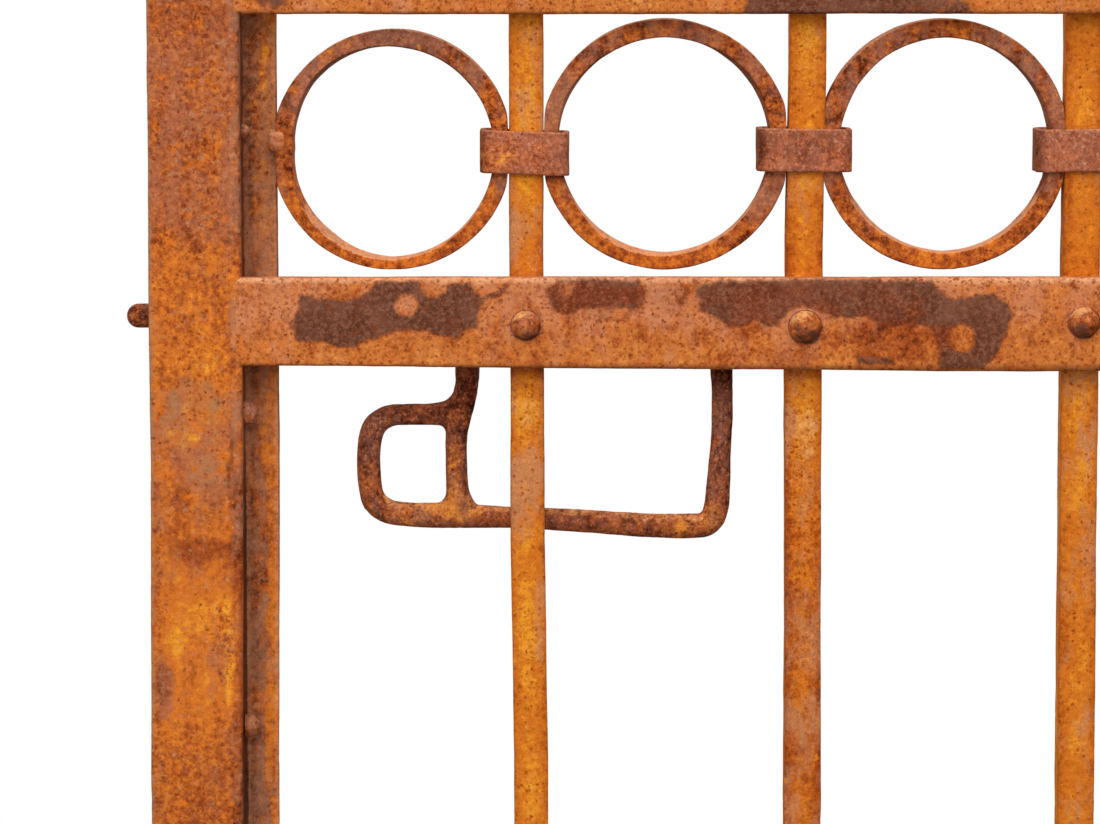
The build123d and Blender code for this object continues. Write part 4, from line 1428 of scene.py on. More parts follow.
        # Painted shadow of the front leg on the inner side of the back leg, and painted shade along its far
        # edge.
        shade = (1.0 - smoothstep(inward, leg, leg + 6.0)) * (0.26 + 0.16 * high)
        rest.marks["stain"] = np.maximum(shade, 0.4 * smoothstep(inward, reach - 1.0, reach))
        band = smoothstep(-inward, -leg - 0.4, -leg + 0.2)
        band = band * smoothstep(box.high[1] - shell.points[:, 1], 0.2, 2.0)
        self._front_marks(shell)
        for kind in ("tone", "mauve", "pitted", "stain"):
            shell.marks[kind] = band * shell.mark(kind) + (1.0 - band) * rest.mark(kind)
        shell.marks["worn"] *= 1.0 - 0.7 * band
        # Painted shadow on the side face of the front leg.
        shell.marks["stain"] = np.maximum(shell.mark("stain"), 0.85 * band * smoothstep(deep, 3.0, 9.0))

    def _hold(self, shell: Shell) -> None:
        """Keep both angles level along the seam between them."""
        away = np.abs(np.abs(shell.points[:, 0] - self.edge) - self.flange)
        shell.marks["still"] = 1.0 - smoothstep(away, 1.5, 4.5)

    def _rivets(self) -> None:
        """Domed heads on the inner angle and lower tails on the other side of the web."""
        node = f"{self.name}_stile_rivets"
        inward = self.side.value * RIGHT
        shells = []
        for box in NodeBox.split(node, 2):
            radius = box.size[2] / 2
            outer, inner = (box.low[0], box.high[0])[:: self.side.value]
            head = np.array([inner, *box.middle[1:]]) - self.head_rise * inward
            tail = np.array([outer, *box.middle[1:]]) + self.tail_rise * inward
            share = self.upper_heads if box.middle[2] > RAIL else 1.0
            shells.append(dome(head, inward, radius * share, self.head_rise * share))
            shells.append(dome(tail, -inward, radius, self.tail_rise))
        shell = self.smith.weather.clouds(Shell.join(shells), 0.15, 0.2, 0.2)
        # The upper faces are painted lighter and greyer as a highlight; the heads well below the lock rail
        # are darker.
        up = smoothstep(shell.normals()[:, 2], -0.2, 0.5)
        deep = smoothstep(RAIL - shell.points[:, 2], 100.0, 150.0)
        shell.add(mauve=0.5 * up, tone=-0.2)
        shell.marks.update(worn=0.5 * up, stain=0.4 * shell.mark("stain") + 0.24 * deep)
        self.smith.forge(node, shell, RIVET_FORGING, Slot.RIVET)


PATCH_OUTLINES: tuple[Steps, ...] = (
    (
        (66.1, 11.3), (70.8, 11.6), (74.2, 10.3), (82.9, 9.9), (86.9, 9.3), (92.4, 11), (97.1, 13.6),
        (99.1, 17), (104.4, 18), (119.3, 17.7), (119.6, 14.3), (123.7, 11.6), (130.1, 13), (131.4, 17),
        (140.8, 17.7), (142.9, 14.3), (147.6, 11.6), (153, 13.6), (157, 17.4), (157.6, 16.3), (154.1, 11.6),
        (147.5, 10.6), (144.9, 5.6), (144.2, -1.8), (138.2, -3.9), (135.5, -7.9), (131.4, -5.9),
        (123.3, -4.8), (122, -3.2), (113.9, -2.9), (105.8, -4.2), (101.1, -6.6), (93.7, -7.9), (90.3, -11.6),
        (85.6, -10.9), (77.5, -9.2), (73.5, -8.2), (66.1, -8.6), (64.7, -6.6), (62.7, -1.8), (64.1, 2.9),
        (66.1, 7.6),
    ),
    (
        (173.9, 14.5), (180.5, 18), (191.5, 18.7), (214.4, 18), (216.2, 11.9), (214.4, 6.2), (205.6, 6.6),
        (193.6, 6.6), (183.4, 4.2), (178.1, 4.9), (174.7, 11),
    ),
    (
        (239.4, 16.4), (250.9, 17.8), (268.5, 18.3), (295.8, 18.9), (342.9, 18.5), (347.3, 13.6),
        (353.4, 9.9), (362.7, 11.4), (371, 12.6), (377, 8), (379, 2), (376, -5), (373, -13), (366, -20.2),
        (347.3, -20.2), (346.6, -8.6), (344, -3.2), (340.6, -1.5), (333.2, -0.8), (324.4, -1.5), (319, -0.4),
        (315, 2.9), (306.8, 2.2), (300.1, 2.9), (294.8, 5.6), (287.9, 7.6), (282, 6.2), (277.8, 2.2),
        (275.9, -1.5), (271.2, -1.1), (266.3, 1.5), (258.9, -1.1), (254.8, -1.8), (249.4, 2.2), (242.6, 4.9),
    ),
    ((311.6, -15.4), (327, -15.8), (327, -18.5), (312, -18.3)),
)
PATCH_ISLANDS: Rows = (
    (112.9, 7.6, 5.2), (125, 15.7, 5), (146.9, 16.4, 4.6), (183.4, 15, 3.7), (356.8, -6.9, 6.4),
)
RAIL_SPOTS: Spots = {
    "mauve": ((227, 9, 13, 10, 0.2), (326, -8, 34, 12, -0.25), (221, 6, 2.6, 15, 0.4), (292, 3, 13, 8, 0.3)),
    "tone": (
        (227, 12, 10, 8, -0.16), (326, -8, 34, 12, -0.3), (262, -2, 16, 6, -0.16), (360, 16, 14, 4, 0.1),
        (178, 15, 12, 3, -0.2), (196, 4, 22, 4, -0.16), (290, 10, 62, 10, -0.2), (194, 12, 26, 6, -0.2),
        (273, -16, 30, 5, -0.16), (226, 13, 14, 8, -0.12), (282, -12, 14, 5, -0.14), (297, 2, 10, 8, -0.1),
    ),
}
RAIL_HEIGHTS: Steps = ((45, 38.6), (70, 38.8), (350, 41.2), (860, 40))
RAIL_HEADS: Steps = ((7.25, 1.2), (7.9, 1.9))


@dataclass
class Rail:
    """A flat rail in the front plane of the leaf, sunk into its welds, with one rivet through each bar.

    The lock rail has heights along X, placed scale patches, and a radius and fall for its first heads.
    """

    smith: Smith
    node: str
    heights: Steps = ()
    heads: Steps = ()
    drop: float = 0.0
    sunk: float = 2.3
    corner: float = 1.7
    head_rise: float = 6.5
    head_foot: float = 1.6
    foot_sink: float = 0.6
    tail_radius: float = 5.5
    tail_rise: float = 0.15
    patch_end: float = 385.0
    soft_place: float = 226.0
    soft_spread: float = 20.0

    def build(self) -> None:
        """Make the rail and its rivets."""
        box = NodeBox.of(self.node)
        start = np.array([box.low[0] - self.sunk, box.middle[1], box.high[2]])
        end = np.array([box.high[0] + self.sunk, box.middle[1], box.high[2]])
        centre = straight(start, end, STEP, 1.0)
        tall = np.full(len(centre), box.size[2])
        if self.heights:
            tall = follow(centre[:, 0] - EDGE, self.heights)
        centre[:, 2] -= tall / 2 + self.drop
        profile = Profile.bar(box.size[1], box.size[2], self.corner, STEP)
        scale = np.stack([np.ones_like(tall), tall / box.size[2]], axis=1)
        shell = sweep(profile, centre, BACK, UP, scale)
        weather = self.smith.weather
        weather.clouds(shell, 0.12, 0.12, 0.25)
        weather.scale(shell, 0.42)
        if self.heights:
            self._patches(shell, box)
            weather.spots(shell, RAIL_SPOTS)
        rise = shell.points[:, 2] - box.middle[2]
        shell.add(mauve=0.32 * smoothstep(rise, -14.0, 8.0), tone=0.08 * smoothstep(-rise, 4.0, 14.0))
        # The edge wear is kept mostly on the upper edges, where it is partly a painted highlight, and the
        # lower edge gets painted shade.
        shell.marks["worn"] *= 0.2 + 0.8 * smoothstep(rise, -6.0, 6.0)
        shell.marks["stain"] = 0.45 * smoothstep(-rise, 17.6, 20.0)
        self.smith.forge(self.node, shell, RAIL_FORGING, Slot.RAIL)
        self._rivets()

    def _patches(self, shell: Shell, box: NodeBox) -> None:
        """Put the placed scale patches on the front face, and leave noise further along and behind.

        Their outlines are softer around one place on the rail.

        Args:
            shell: surface to mark.
            box: box of the rail.
        """
        at = np.stack([shell.points[:, 0] - EDGE, shell.points[:, 2] - RAIL], axis=1)
        reach = np.full(len(at), -np.inf)
        for outline in PATCH_OUTLINES:
            reach = np.maximum(reach, inside_distance(at, np.array(outline)))
        for x, z, radius in PATCH_ISLANDS:
            reach = np.minimum(reach, np.hypot(at[:, 0] - x, at[:, 1] - z) - radius)
        front = (shell.points[:, 1] < box.middle[1]) & (at[:, 0] < self.patch_end)
        reach *= 1.0 - 0.7 * np.exp(-(((at[:, 0] - self.soft_place) / self.soft_spread) ** 2))
        shell.marks["flake"] = np.where(front, to_flake(reach), shell.mark("flake"))

    def _rivets(self) -> None:
        """Domed heads on the rail and flat tails behind the bars."""
        node = f"{self.node}_rivets"
        shells = []
        for k, box in enumerate(NodeBox.split(node, 0)):
            radius, fall = self.heads[k] if k < len(self.heads) else (box.size[0] / 2, 0.0)
            seat = np.array([box.middle[0], box.low[1] + self.head_rise, box.middle[2] - fall])
            tail = np.array([box.middle[0], box.high[1], box.middle[2]])
            shells.append(dome(seat, -BACK, radius - self.foot_sink, self.head_rise, self.head_foot))
            shells.append(dome(tail, BACK, self.tail_radius, self.tail_rise))
        shell = self.smith.weather.clouds(Shell.join(shells), 0.12, 0.25, 0.2)
        # Painted light from the upper left: lighter on the faces that lean towards it, and painted shade and
        # more dark scale on those that face away.
        lean = shell.normals() @ np.array([-0.4, 0.0, 0.92])
        foot = smoothstep(shell.points[:, 1], seat[1] - 1.3, seat[1] - 0.4) * (shell.points[:, 1] < 0.0)
        shell.add(tone=-(0.1 + 0.12 * foot), mauve=0.5 * foot)
        shell.marks["worn"] = smoothstep(lean, 0.1, 0.8) * (1.0 - foot)
        shell.marks["stain"] *= 0.5 * smoothstep(-lean, -0.3, 0.4)
        shell.add(stain=0.45 * smoothstep(-lean, 0.0, 0.8))
        crust = self.smith.grain.fractal(shell.points + 61.0, 6.0, 3) - 0.6 * lean
        shell.marks["flake"] = to_flake(2.4 * (crust - 0.4))
        self.smith.forge(node, shell, RIVET_FORGING, Slot.RIVET)


BAR_SPOTS: Spots = {
    "mauve": (
        (171.8, -131, 2.4, 26, 0.55), (165.5, -69, 9, 15, 0.5), (160, 30, 3, 20, 0.35),
        (282, -47, 4, 12, 0.45),
    ),
    # The darker tone spots at height -21, just below the lock rail, are painted shadow of the rail.
    "tone": (
        (165.5, -21, 12, 4, -0.22), (288, -21, 12, 5, -0.24), (165.5, -42, 9, 12, 0.14),
        (288, -47, 9, 15, 0.12),
    ),
    "worn": ((289, -50, 7, 15, 0.9), (165.5, -40, 7, 12, 0.7)),
    "pitted": ((288, -50, 11, 16, 0.6), (288, -95, 11, 30, 0.45), (165.5, -36, 11, 12, 0.25)),
}
EVEN: Steps = ((0, 0),)
FIRST_BOW: Steps = (
    (-770, 0), (-420, 2.6), (-195, 2.1), (-147, 1.4), (-100, 0.6), (-26, 0.5), (35, 0.1), (112, 0.1),
    (160, 0),
)
FIRST_TONES: Steps = ((-100, 0.06), (-60, 0), (-25, -0.02), (20, -0.06), (50, -0.06), (62, 0.06), (112, 0.06))
FIRST_VEILS: Steps = ((-130, -0.1), (-105, -0.05), (-90, 0.1), (50, 0.1), (112, 0.08))
SECOND_BOW: Steps = (
    (-770, 0), (-420, 0.9), (-191, 0.9), (-122, 0.6), (-47, 0.2), (36, 0.2), (60, 0.5), (112, 1.3),
    (160, 1.3),
)
SECOND_TONES: Steps = (
    (-120, -0.24), (-100, -0.1), (-60, -0.02), (-25, -0.02), (20, -0.08), (50, -0.08), (62, 0.04),
    (112, 0.04),
)
SECOND_VEILS: Steps = ((-140, 0.2), (-60, 0.15), (-40, 0.1), (20, -0.05), (60, 0), (112, -0.05))


@dataclass
class Upright:
    """A square bar of the grille, slightly out of true. Its bow, tones and veils go by height."""

    smith: Smith
    number: int
    width: float
    bow: Steps
    tones: Steps = EVEN
    veils: Steps = EVEN
    corner: float = 2.0
    end_round: float = 1.2

    def build(self) -> None:
        """Make the bar."""
        node = f"bar_{self.number}"
        box = NodeBox.of(node)
        ends = (np.array([*box.middle[:2], height]) for height in (box.low[2], box.high[2]))
        centre = straight(*ends, STEP, self.end_round)
        centre[:, 0] += follow(centre[:, 2] - RAIL, self.bow)
        profile = Profile.bar(box.size[0], box.size[1], self.corner, 1.0)
        scale = np.array([[self.width / box.size[0], 1.0]])
        shell = sweep(profile, centre, RIGHT, BACK, scale, end_round=self.end_round)
        # The corners are painted darker: painted shade of the rounded corners, where they turn away from the
        # light.
        shell.marks["tone"] = -0.22 * shell.marks.pop("worn")
        weather = self.smith.weather
        weather.clouds(shell, 0.1, 0.25, 0.25)
        weather.bands(shell, "tone", self.tones)
        weather.bands(shell, "mauve", self.veils)
        weather.spots(shell, BAR_SPOTS)
        self.smith.forge(node, shell, BAR_FORGING, Slot.BAR, rear=box.high[1])


def leaning(lean: float) -> Steps:
    """Bow of a bar that goes out of true by lean below the lock rail."""
    return ((-770, 0), (-400, lean), (-60, 0), (160, 0))


BARS = (
    (15.2, FIRST_BOW, FIRST_TONES, FIRST_VEILS), (16.1, SECOND_BOW, SECOND_TONES, SECOND_VEILS),
    (16.2, leaning(1.2)), (15.7, leaning(-1.0)), (16.4, leaning(0.9)), (15.8, leaning(-1.4)),
)

FIRST_WALLS: Steps = (
    (0, 8.2), (40, 8.2), (90, 7.8), (140, 8.2), (160, 9.2), (180, 10), (200, 8.6), (235, 7.4), (250, 6),
    (270, 5), (290, 5.6), (320, 7), (340, 7.6), (360, 8.2),
)
SECOND_WALLS: Steps = (
    (0, 9.2), (40, 9.2), (90, 8.4), (150, 8.4), (200, 8.6), (240, 7.6), (270, 7.2), (300, 7.8), (330, 8.8),
    (360, 9.2),
)
THIRD_WALLS: Steps = (
    (0, 8.6), (90, 8.2), (130, 9), (160, 9.8), (220, 9.6), (250, 8.4), (270, 7.6), (315, 8.2), (360, 8.6),
)
OTHER_WALLS: Steps = ((0, 8.6), (90, 8.2), (180, 8.6), (235, 8.4), (270, 7.4), (315, 8.2), (360, 8.6))
RINGS = (
    (FIRST_WALLS, ((132, 30, 6.5), (226, 34, 11))),
    (SECOND_WALLS, ((36, 26, 8), (150, 24, 6), (250, 30, 6))),
    (THIRD_WALLS, ((210, 30, 9), (360, 34, 6))),
    *((OTHER_WALLS, ((turn, 30, 9), (turn + 150, 34, 6))) for turn in (280, 350, 420, 490)),
)


@dataclass
class Ring:
    """A ring of bent flat bar, drawn thinner and twisted in places, and flat where its collars hold it.

    Walls go by the angle in degrees, and a twist is its angle, its spread and its amount.
    """

    smith: Smith
    number: int
    walls: Steps
    twists: Rows
    bulge: float = 0.5
    ease: float = 1.2
    section: float = 8.0
    corner: float = 0.9
    stations: int = 260

    def build(self) -> None:
        """Make the ring: a bar section carried round a circle, its width and twist varying with the angle."""
        node = f"ring_{self.number}"
        box = NodeBox.of(node)
        turn = np.linspace(0.0, FULL_TURN, self.stations, endpoint=False)
        degrees = np.degrees(turn)
        wall = follow(degrees, self.walls)
        twist = np.zeros_like(turn)
        for angle, spread, amount in self.twists:
            away = (degrees - angle + 180.0) % 360.0 - 180.0
            twist += math.radians(amount) * np.exp(-((away / spread) ** 2))
        out = np.stack([np.cos(turn), np.zeros_like(turn), np.sin(turn)], axis=1)
        centre = box.middle + out * (box.size[2] / 2 - wall / 2)[:, None]
        c, s = np.cos(twist)[:, None], np.sin(twist)[:, None]
        width = (wall - box.size[1] * np.abs(np.sin(twist))) / np.cos(twist)
        scale = np.stack([width / self.section, np.ones_like(wall)], axis=1)
        profile = Profile.bar(self.section, box.size[1], self.corner, 1.2)
        shell = sweep(profile, centre, c * out + s * BACK, c * BACK - s * out, scale, closed=True)
        self.smith.weather.clouds(shell, 0.2, 0.3, 0.3)
        # Painted light from above: the upward faces are painted lighter and the downward ones get painted
        # shade, with half of the edge wear kept.
        upward = shell.normals()[:, 2]
        low = smoothstep((box.middle[2] - shell.points[:, 2]) / box.size[2], 0.05, 0.45)
        worn = np.maximum(0.5 * shell.mark("worn"), 1.1 * smoothstep(upward, 0.25, 0.6))
        shell.add(tone=0.07 * low, mauve=-0.5 * low)
        shell.marks.update(stain=0.5 * smoothstep(-upward, 0.2, 0.7), worn=worn)
        RING_FORGING.apply(shell, self.smith.grain)
        side = box.size[0] / 2 + self.bulge
        away = shell.points[:, 0] - box.middle[0]
        over = np.maximum(np.abs(away) - (side - self.ease), 0.0)
        shell.points[:, 0] -= np.sign(away) * (over - self.ease * (1.0 - np.exp(-over / self.ease)))
        self.smith.workshop.place(node, shell, Slot.RING, Body.LEAF)


COLLARS = (  # width, lean, slip, tone
    (39.3, 2.1, -0.6, 0), (42, 0.6, 0, -0.1), (42, -1, 0, 0), (42, 1.4, 0, -0.05),
    (42, -0.7, 0, -0.08), (42, 1, 0, 0),
)


@dataclass
class Collar:
    """A strip bent round ring, bar and ring, with its seam at the back.

    It leans by an angle in degrees, slips along X, and is lighter or darker by tone.
    """

    smith: Smith
    number: int
    width: float
    lean: float
    slip: float
    tone: float
    strip: float = 2.8
    seam: float = 0.5
    bend: float = 3.6
    wide_bend: float = 4.2
    corner: float = 0.6

    def build(self) -> None:
        """Make the collar: a flat section carried round a rounded rectangle, open at the seam."""
        node = f"collar_{self.number}"
        box = NodeBox.of(node)
        x, y = self.width / 2 - self.strip / 2, box.size[1] / 2 - self.strip / 2
        bends = [(self.seam, y, 0.0), (x, y, self.bend), (x, -y, self.bend), (-x, -y, self.wide_bend),
                 (-x, y, self.bend), (-self.seam, y, 0.0)]
        flat = bent_line(bends, 1.0)
        along = headings(flat)
        fall = math.tan(math.radians(self.lean))
        middle = box.middle + self.slip * RIGHT
        centre = middle + np.column_stack([flat, -fall * flat[:, 0]])
        out = np.column_stack([-along[:, 1], along[:, 0], np.zeros(len(flat))])
        profile = Profile.bar(self.strip, box.size[2], self.corner, 0.8)
        shell = sweep(profile, centre, out, UP)
        rise = shell.points[:, 2] - centre[len(centre) // 2, 2] + fall * (shell.points[:, 0] - middle[0])
        self._age(shell, shell.points[:, 0] - middle[0], rise, box.size[2] / 2)
        self.smith.forge(node, shell, COLLAR_FORGING, Slot.COLLAR)

    def _age(self, shell: Shell, along: Array, rise: Array, half: float) -> None:
        """Marks of the collar: a painted highlight on its upper edge, painted shade on its sides and lower
        edge, level streaks and a glowing place at the left.

        Args:
            shell: surface to mark.
            along: distance of each point from the middle along X.
            rise: height of each point above the strip's own middle.
            half: half the height of the strip.
        """
        self.smith.weather.clouds(shell, 0.22, 0.3, 0.2)
        aside = shell.normals()[:, 0]
        glow = smoothstep(-np.hypot((along + 9.0) / 9.0, (rise + 3.5) / 4.0), -1.2, -0.3)
        streaks = self.smith.grain.fractal(shell.points + 41.0, np.array([16.0, 16.0, 2.4]), 3)
        shade = 0.42 * smoothstep(-aside, 0.1, 0.7) + 0.16 * smoothstep(aside, 0.2, 0.8)
        shell.add(tone=self.tone, mauve=0.36 + self.tone)
        shell.add(tone=0.16 * smoothstep(-rise, 0.0, half - 2.0) - 0.08)
        shell.add(tone=0.2 * streaks)
        shell.add(tone=0.2 * glow, mauve=0.2 * smoothstep(rise, 0.0, half) - 0.3 * glow)
        # Painted shade on the sides and along the lower edge; the upper edge is a painted highlight.
        shell.marks["stain"] = shade + 0.3 * smoothstep(-rise, half - 1.4, half - 0.3)
        shell.marks["worn"] = 1.1 * smoothstep(rise, half - 1.7, half - 0.5)


@dataclass
class WeldNugget:
    """A lump of weld between an end ring and its inner angle."""

    smith: Smith
    node: str
    squareness: float = 0.62
    share: float = 0.45
    rows: int = 26
    columns: int = 44

    def build(self) -> None:
        """Make the lump: a ball drawn towards a block by a root of its coordinates, then dented by noise."""
        box = NodeBox.of(self.node)
        fall = np.linspace(0.06, math.pi - 0.06, self.rows)
        turn = np.linspace(0.0, FULL_TURN, self.columns, endpoint=False)
        circle = np.stack([np.cos(turn), np.sin(turn), np.ones_like(turn)], axis=-1)
        ball = np.stack([np.sin(fall), np.sin(fall), np.cos(fall)], axis=-1)[:, None] * circle
        block = np.sign(ball) * np.abs(ball) ** self.squareness
        points = (box.middle + block * box.size * self.share).reshape(-1, 3)
        faces = [grid_faces(self.rows, self.columns, False), *end_caps(self.rows, self.columns)]
        shell = Shell(points, faces).outward()
        self.smith.weather.clouds(shell, 0.2, 0.2, 0.2)
        shell.add(tone=0.22, mauve=0.2)
        # Painted highlight: lighter towards the upward faces.
        shell.marks["worn"] = smoothstep(shell.normals()[:, 2], -0.6, 0.6)
        self.smith.forge(self.node, shell, LUMP_FORGING, Slot.RING)


HANDLE_ROD: Rows = (
    (252.6, -4.5, 5.2), (252.6, -12, 5.2), (252.7, -24.4, 5.1), (253.1, -33.4, 4.7), (252.9, -51.4, 4.7),
    (252, -64.9, 5.1), (251.2, -78.5, 5.5), (250.5, -86.5, 5.6), (248.2, -92.2, 5.5), (242.5, -94.6, 5.6),
    (223.2, -94.5, 5.6), (180.6, -91.8, 5.05), (157.9, -90.8, 4.9), (126.8, -90, 5.7), (114.9, -89.7, 5.4),
    (103.9, -88.3, 5.4), (97.4, -83.4, 5.6), (95.5, -76.7, 5.4), (94.9, -67.2, 5.4), (95.4, -56.8, 5.4),
    (98, -49.1, 5.4), (103.6, -45.3, 5.1), (110.3, -44.5, 4.75), (119.3, -44.4, 4.7), (127.5, -44.6, 4.8),
    (136.5, -45, 4.8),
)
HANDLE_STRUT: Rows = (
    (139.6, -4.5, 5.6), (139.5, -12, 5.7), (139.2, -24.4, 5.5), (138.9, -31, 5.2), (137.8, -39, 5),
    (135.6, -46.9, 5.1), (134.2, -54, 4.95), (134.2, -66.3, 4.9), (134.6, -77.6, 5), (135.1, -83, 6.2),
    (135.7, -87.4, 8), (136, -90, 6.5),
)
HANDLE_FILLETS: tuple[Rows, ...] = (
    ((138.7, -28, 4.6), (137.3, -35.7, 4.7), (134.4, -39.9, 4.7), (130.2, -42.8, 4.7), (122, -44.3, 4.7)),
    ((125, -45.3, 3), (128.6, -46.6, 3.1), (131, -48.6, 3.1), (132.6, -51.6, 3.1), (133.5, -55.5, 3)),
    ((123, -88.4, 3.4), (127.5, -87.4, 3.4), (130.6, -85.2, 3.4), (132.6, -82, 3.4), (133.5, -78, 3.4)),
)
HANDLE_SPOTS: Spots = {
    "tone": (
        (133.2, -66, 2.8, 18, 0.3), (137, -44, 6, 6, 0.16), (137, -86, 11, 7, 0.34), (117, -88, 12, 5, 0.16),
        (252, -22, 9, 12, -0.08), (252, -56, 9, 26, 0.1), (246, -92, 18, 9, 0.28), (205, -90, 40, 8, 0.1),
    ),
    "mauve": ((100, -52, 9, 14, 0.3), (252, -50, 5, 22, 0.25)),
}


def flowing(nodes: Array, steps: int) -> Array:
    """Catmull-Rom curve: a cubic between each two nodes that keeps the slope of their neighbours.

    Args:
        nodes: rows of values, the curve going through each row.
        steps: number of points between two nodes.

    Returns:
        Rows along the curve.
    """
    ends = np.concatenate([2 * nodes[:1] - nodes[1:2], nodes, 2 * nodes[-1:] - nodes[-2:-1]])
    a, b, c, d = ends[:-3, None], ends[1:-2, None], ends[2:-1, None], ends[3:, None]
    t = (np.arange(steps) / steps)[None, :, None]
    curve = 0.5 * (2 * b + (c - a) * t + (2 * a - 5 * b + 4 * c - d) * t**2 + (3 * b - a - 3 * c + d) * t**3)
    return np.concatenate([curve.reshape(-1, nodes.shape[1]), nodes[-1:]])


@dataclass
class Latch:
    """The sliding bolt, its bent rod handle, its stop pin and the straps that guide it.

    The limit on the handle's half depth keeps it clear of the bars as it slides.
    """

    smith: Smith
    nose: float = 5.2
    nose_radius: float = 5.4
    round_end: float = 34.0
    square_start: float = 44.0
    round_power: float = 2.0
    square_power: float = 9.0
    sides: int = 64
    tail_round: float = 0.9
    half_depth: float = 5.5
    rod_sides: int = 28
    peen_radius: float = 5.2
    peen_rise: float = 2.6
    skin_cell: float = 0.9
    strap: float = 3.0
    strap_corner: float = 0.7
    ear_bend: float = 2.4
    crown_bend: float = 2.5
    play: float = 0.35
    pin_round: float = 0.8

    def build(self) -> None:
        """Make all the pieces of the latch."""
        bolt = NodeBox.of("latch_bolt")
        self._bolt(bolt)
        self._handle(bolt)
        self._stop_pin()
        for place in ("stile", "bar"):
            self._guide(f"{place}_bolt_guide", bolt)
            self._guide_rivets(f"{place}_guide_rivets")

    def _bolt(self, box: NodeBox) -> None:
        """Bolt: superellipse sections whose exponent grows from a round nose to a square shank.

        Args:
            box: box of the bolt.
        """
        low, high = box.low[0], box.high[0]
        near = low + self.nose * (1.0 - np.cos(np.linspace(0.12, math.pi / 2, 12)))
        far = high - np.array([0.9, 0.4, 0.1, 0.0])
        x = np.concatenate([near, np.arange(low + (self.nose + 1.0), high - 1.0, STEP), far])
        square = smoothstep(x, low + self.round_end, low + self.square_start)
        power = (self.round_power * (1 - square) + self.square_power * square)[:, None]
        half = self.nose_radius * (1 - square) + (box.size[2] / 2 - 0.05) * square
        nose = np.clip((x - low) / self.nose, 0.0, 1.0)
        half = half * np.where(nose < 1.0, np.sqrt(np.maximum(1.0 - (1.0 - nose) ** 2, 0.0)), 1.0)
        half -= self.tail_round * np.clip(1.0 - (high - x) / self.tail_round, 0.0, 1.0) ** 2
        turn = np.linspace(0.0, FULL_TURN, self.sides, endpoint=False) + math.pi / self.sides
        c, s = np.cos(turn), np.sin(turn)
        radius = half[:, None] / (np.abs(c) ** power + np.abs(s) ** power) ** (1.0 / power)
        along = np.broadcast_to(x[:, None], radius.shape)
        points = np.stack([along, box.middle[1] + radius * c, box.middle[2] + radius * s], axis=-1)
        faces = [grid_faces(len(x), self.sides, False), *end_caps(len(x), self.sides)]
        shell = Shell(points.reshape(-1, 3), faces).outward()
        self.smith.weather.clouds(shell, 0.15, 0.2, 0.2)
        self.smith.forge("latch_bolt", shell, FINE_FORGING, Slot.LATCH, Body.LATCH)

    def _handle(self, bolt: NodeBox) -> None:
        """Handle: rods of varying thickness along flowing curves, grown together into one skin.

        Args:
            bolt: box of the bolt.
        """
        depth, rod = bolt.middle[1], Profile.rod(1.0, self.rod_sides)
        rods = []
        for nodes in (HANDLE_ROD, HANDLE_STRUT, *HANDLE_FILLETS):
            x, z, radius = flowing(np.array(nodes), 6).T
            centre = np.column_stack([x + EDGE, np.full(len(x), depth), z + RAIL])
            size = np.column_stack([radius, np.minimum(radius, self.half_depth)])
            rods.append(sweep(rod, centre, np.cross(headings(centre), BACK), BACK, size))
        for leg in (HANDLE_ROD[0][0], HANDLE_STRUT[0][0]):
            top = np.array([leg + EDGE, depth, bolt.high[2] - 0.2])
            rods.append(dome(top, UP, self.peen_radius, self.peen_rise))
        shell = self._grown(Shell.join(rods))
        weather = self.smith.weather
        weather.clouds(shell, 0.2, 0.2, 0.2)
        # Darker towards the top: partly painted shade below the lock rail.
        weather.bands(shell, "tone", ((-75.0, 0.05), (-25.0, -0.16)))
        normals = shell.normals()
        # Painted light from the upper left: lighter on the faces towards it and darker on those away from it,
        # with a painted highlight on the upward faces of the lower part.
        lee = normals @ np.array([0.75, 0.0, -0.66])
        low = smoothstep(RAIL - shell.points[:, 2], 62.0, 80.0)
        shell.marks["worn"] = 0.85 * low * smoothstep(normals[:, 2], 0.1, 0.7)
        shell.add(tone=0.1 * smoothstep(-lee, 0.2, 0.9) - 0.2 * smoothstep(lee, 0.25, 0.9))
        weather.spots(shell, HANDLE_SPOTS)
        self.smith.forge("latch_handle", shell, HANDLE_FORGING, Slot.LATCH, Body.LATCH)

    def _grown(self, shell: Shell) -> Shell:
        """Grow overlapping shells into one closed skin of even quads, softened where they meet.

        Args:
            shell: overlapping closed surfaces.

        Returns:
            The skin around them.
        """
        mesh = to_mesh("grown", shell)
        piece = to_scene("grown", mesh)
        remesh = piece.modifiers.new("skin", "REMESH")
        remesh.mode, remesh.voxel_size = "VOXEL", self.skin_cell * MM
        soften = piece.modifiers.new("soften", "SMOOTH")
        soften.factor, soften.iterations = 0.5, 8
        grown = piece.evaluated_get(bpy.context.evaluated_depsgraph_get()).to_mesh()
        flat = np.empty(len(grown.vertices) * 3)
        grown.vertices.foreach_get("co", flat)
        corners = np.empty(len(grown.loops), np.int32)
        grown.loops.foreach_get("vertex_index", corners)
        bpy.data.objects.remove(piece)
        bpy.data.meshes.remove(mesh)
        return Shell(flat.reshape(-1, 3) / MM, [corners.reshape(-1, 4)]).outward()

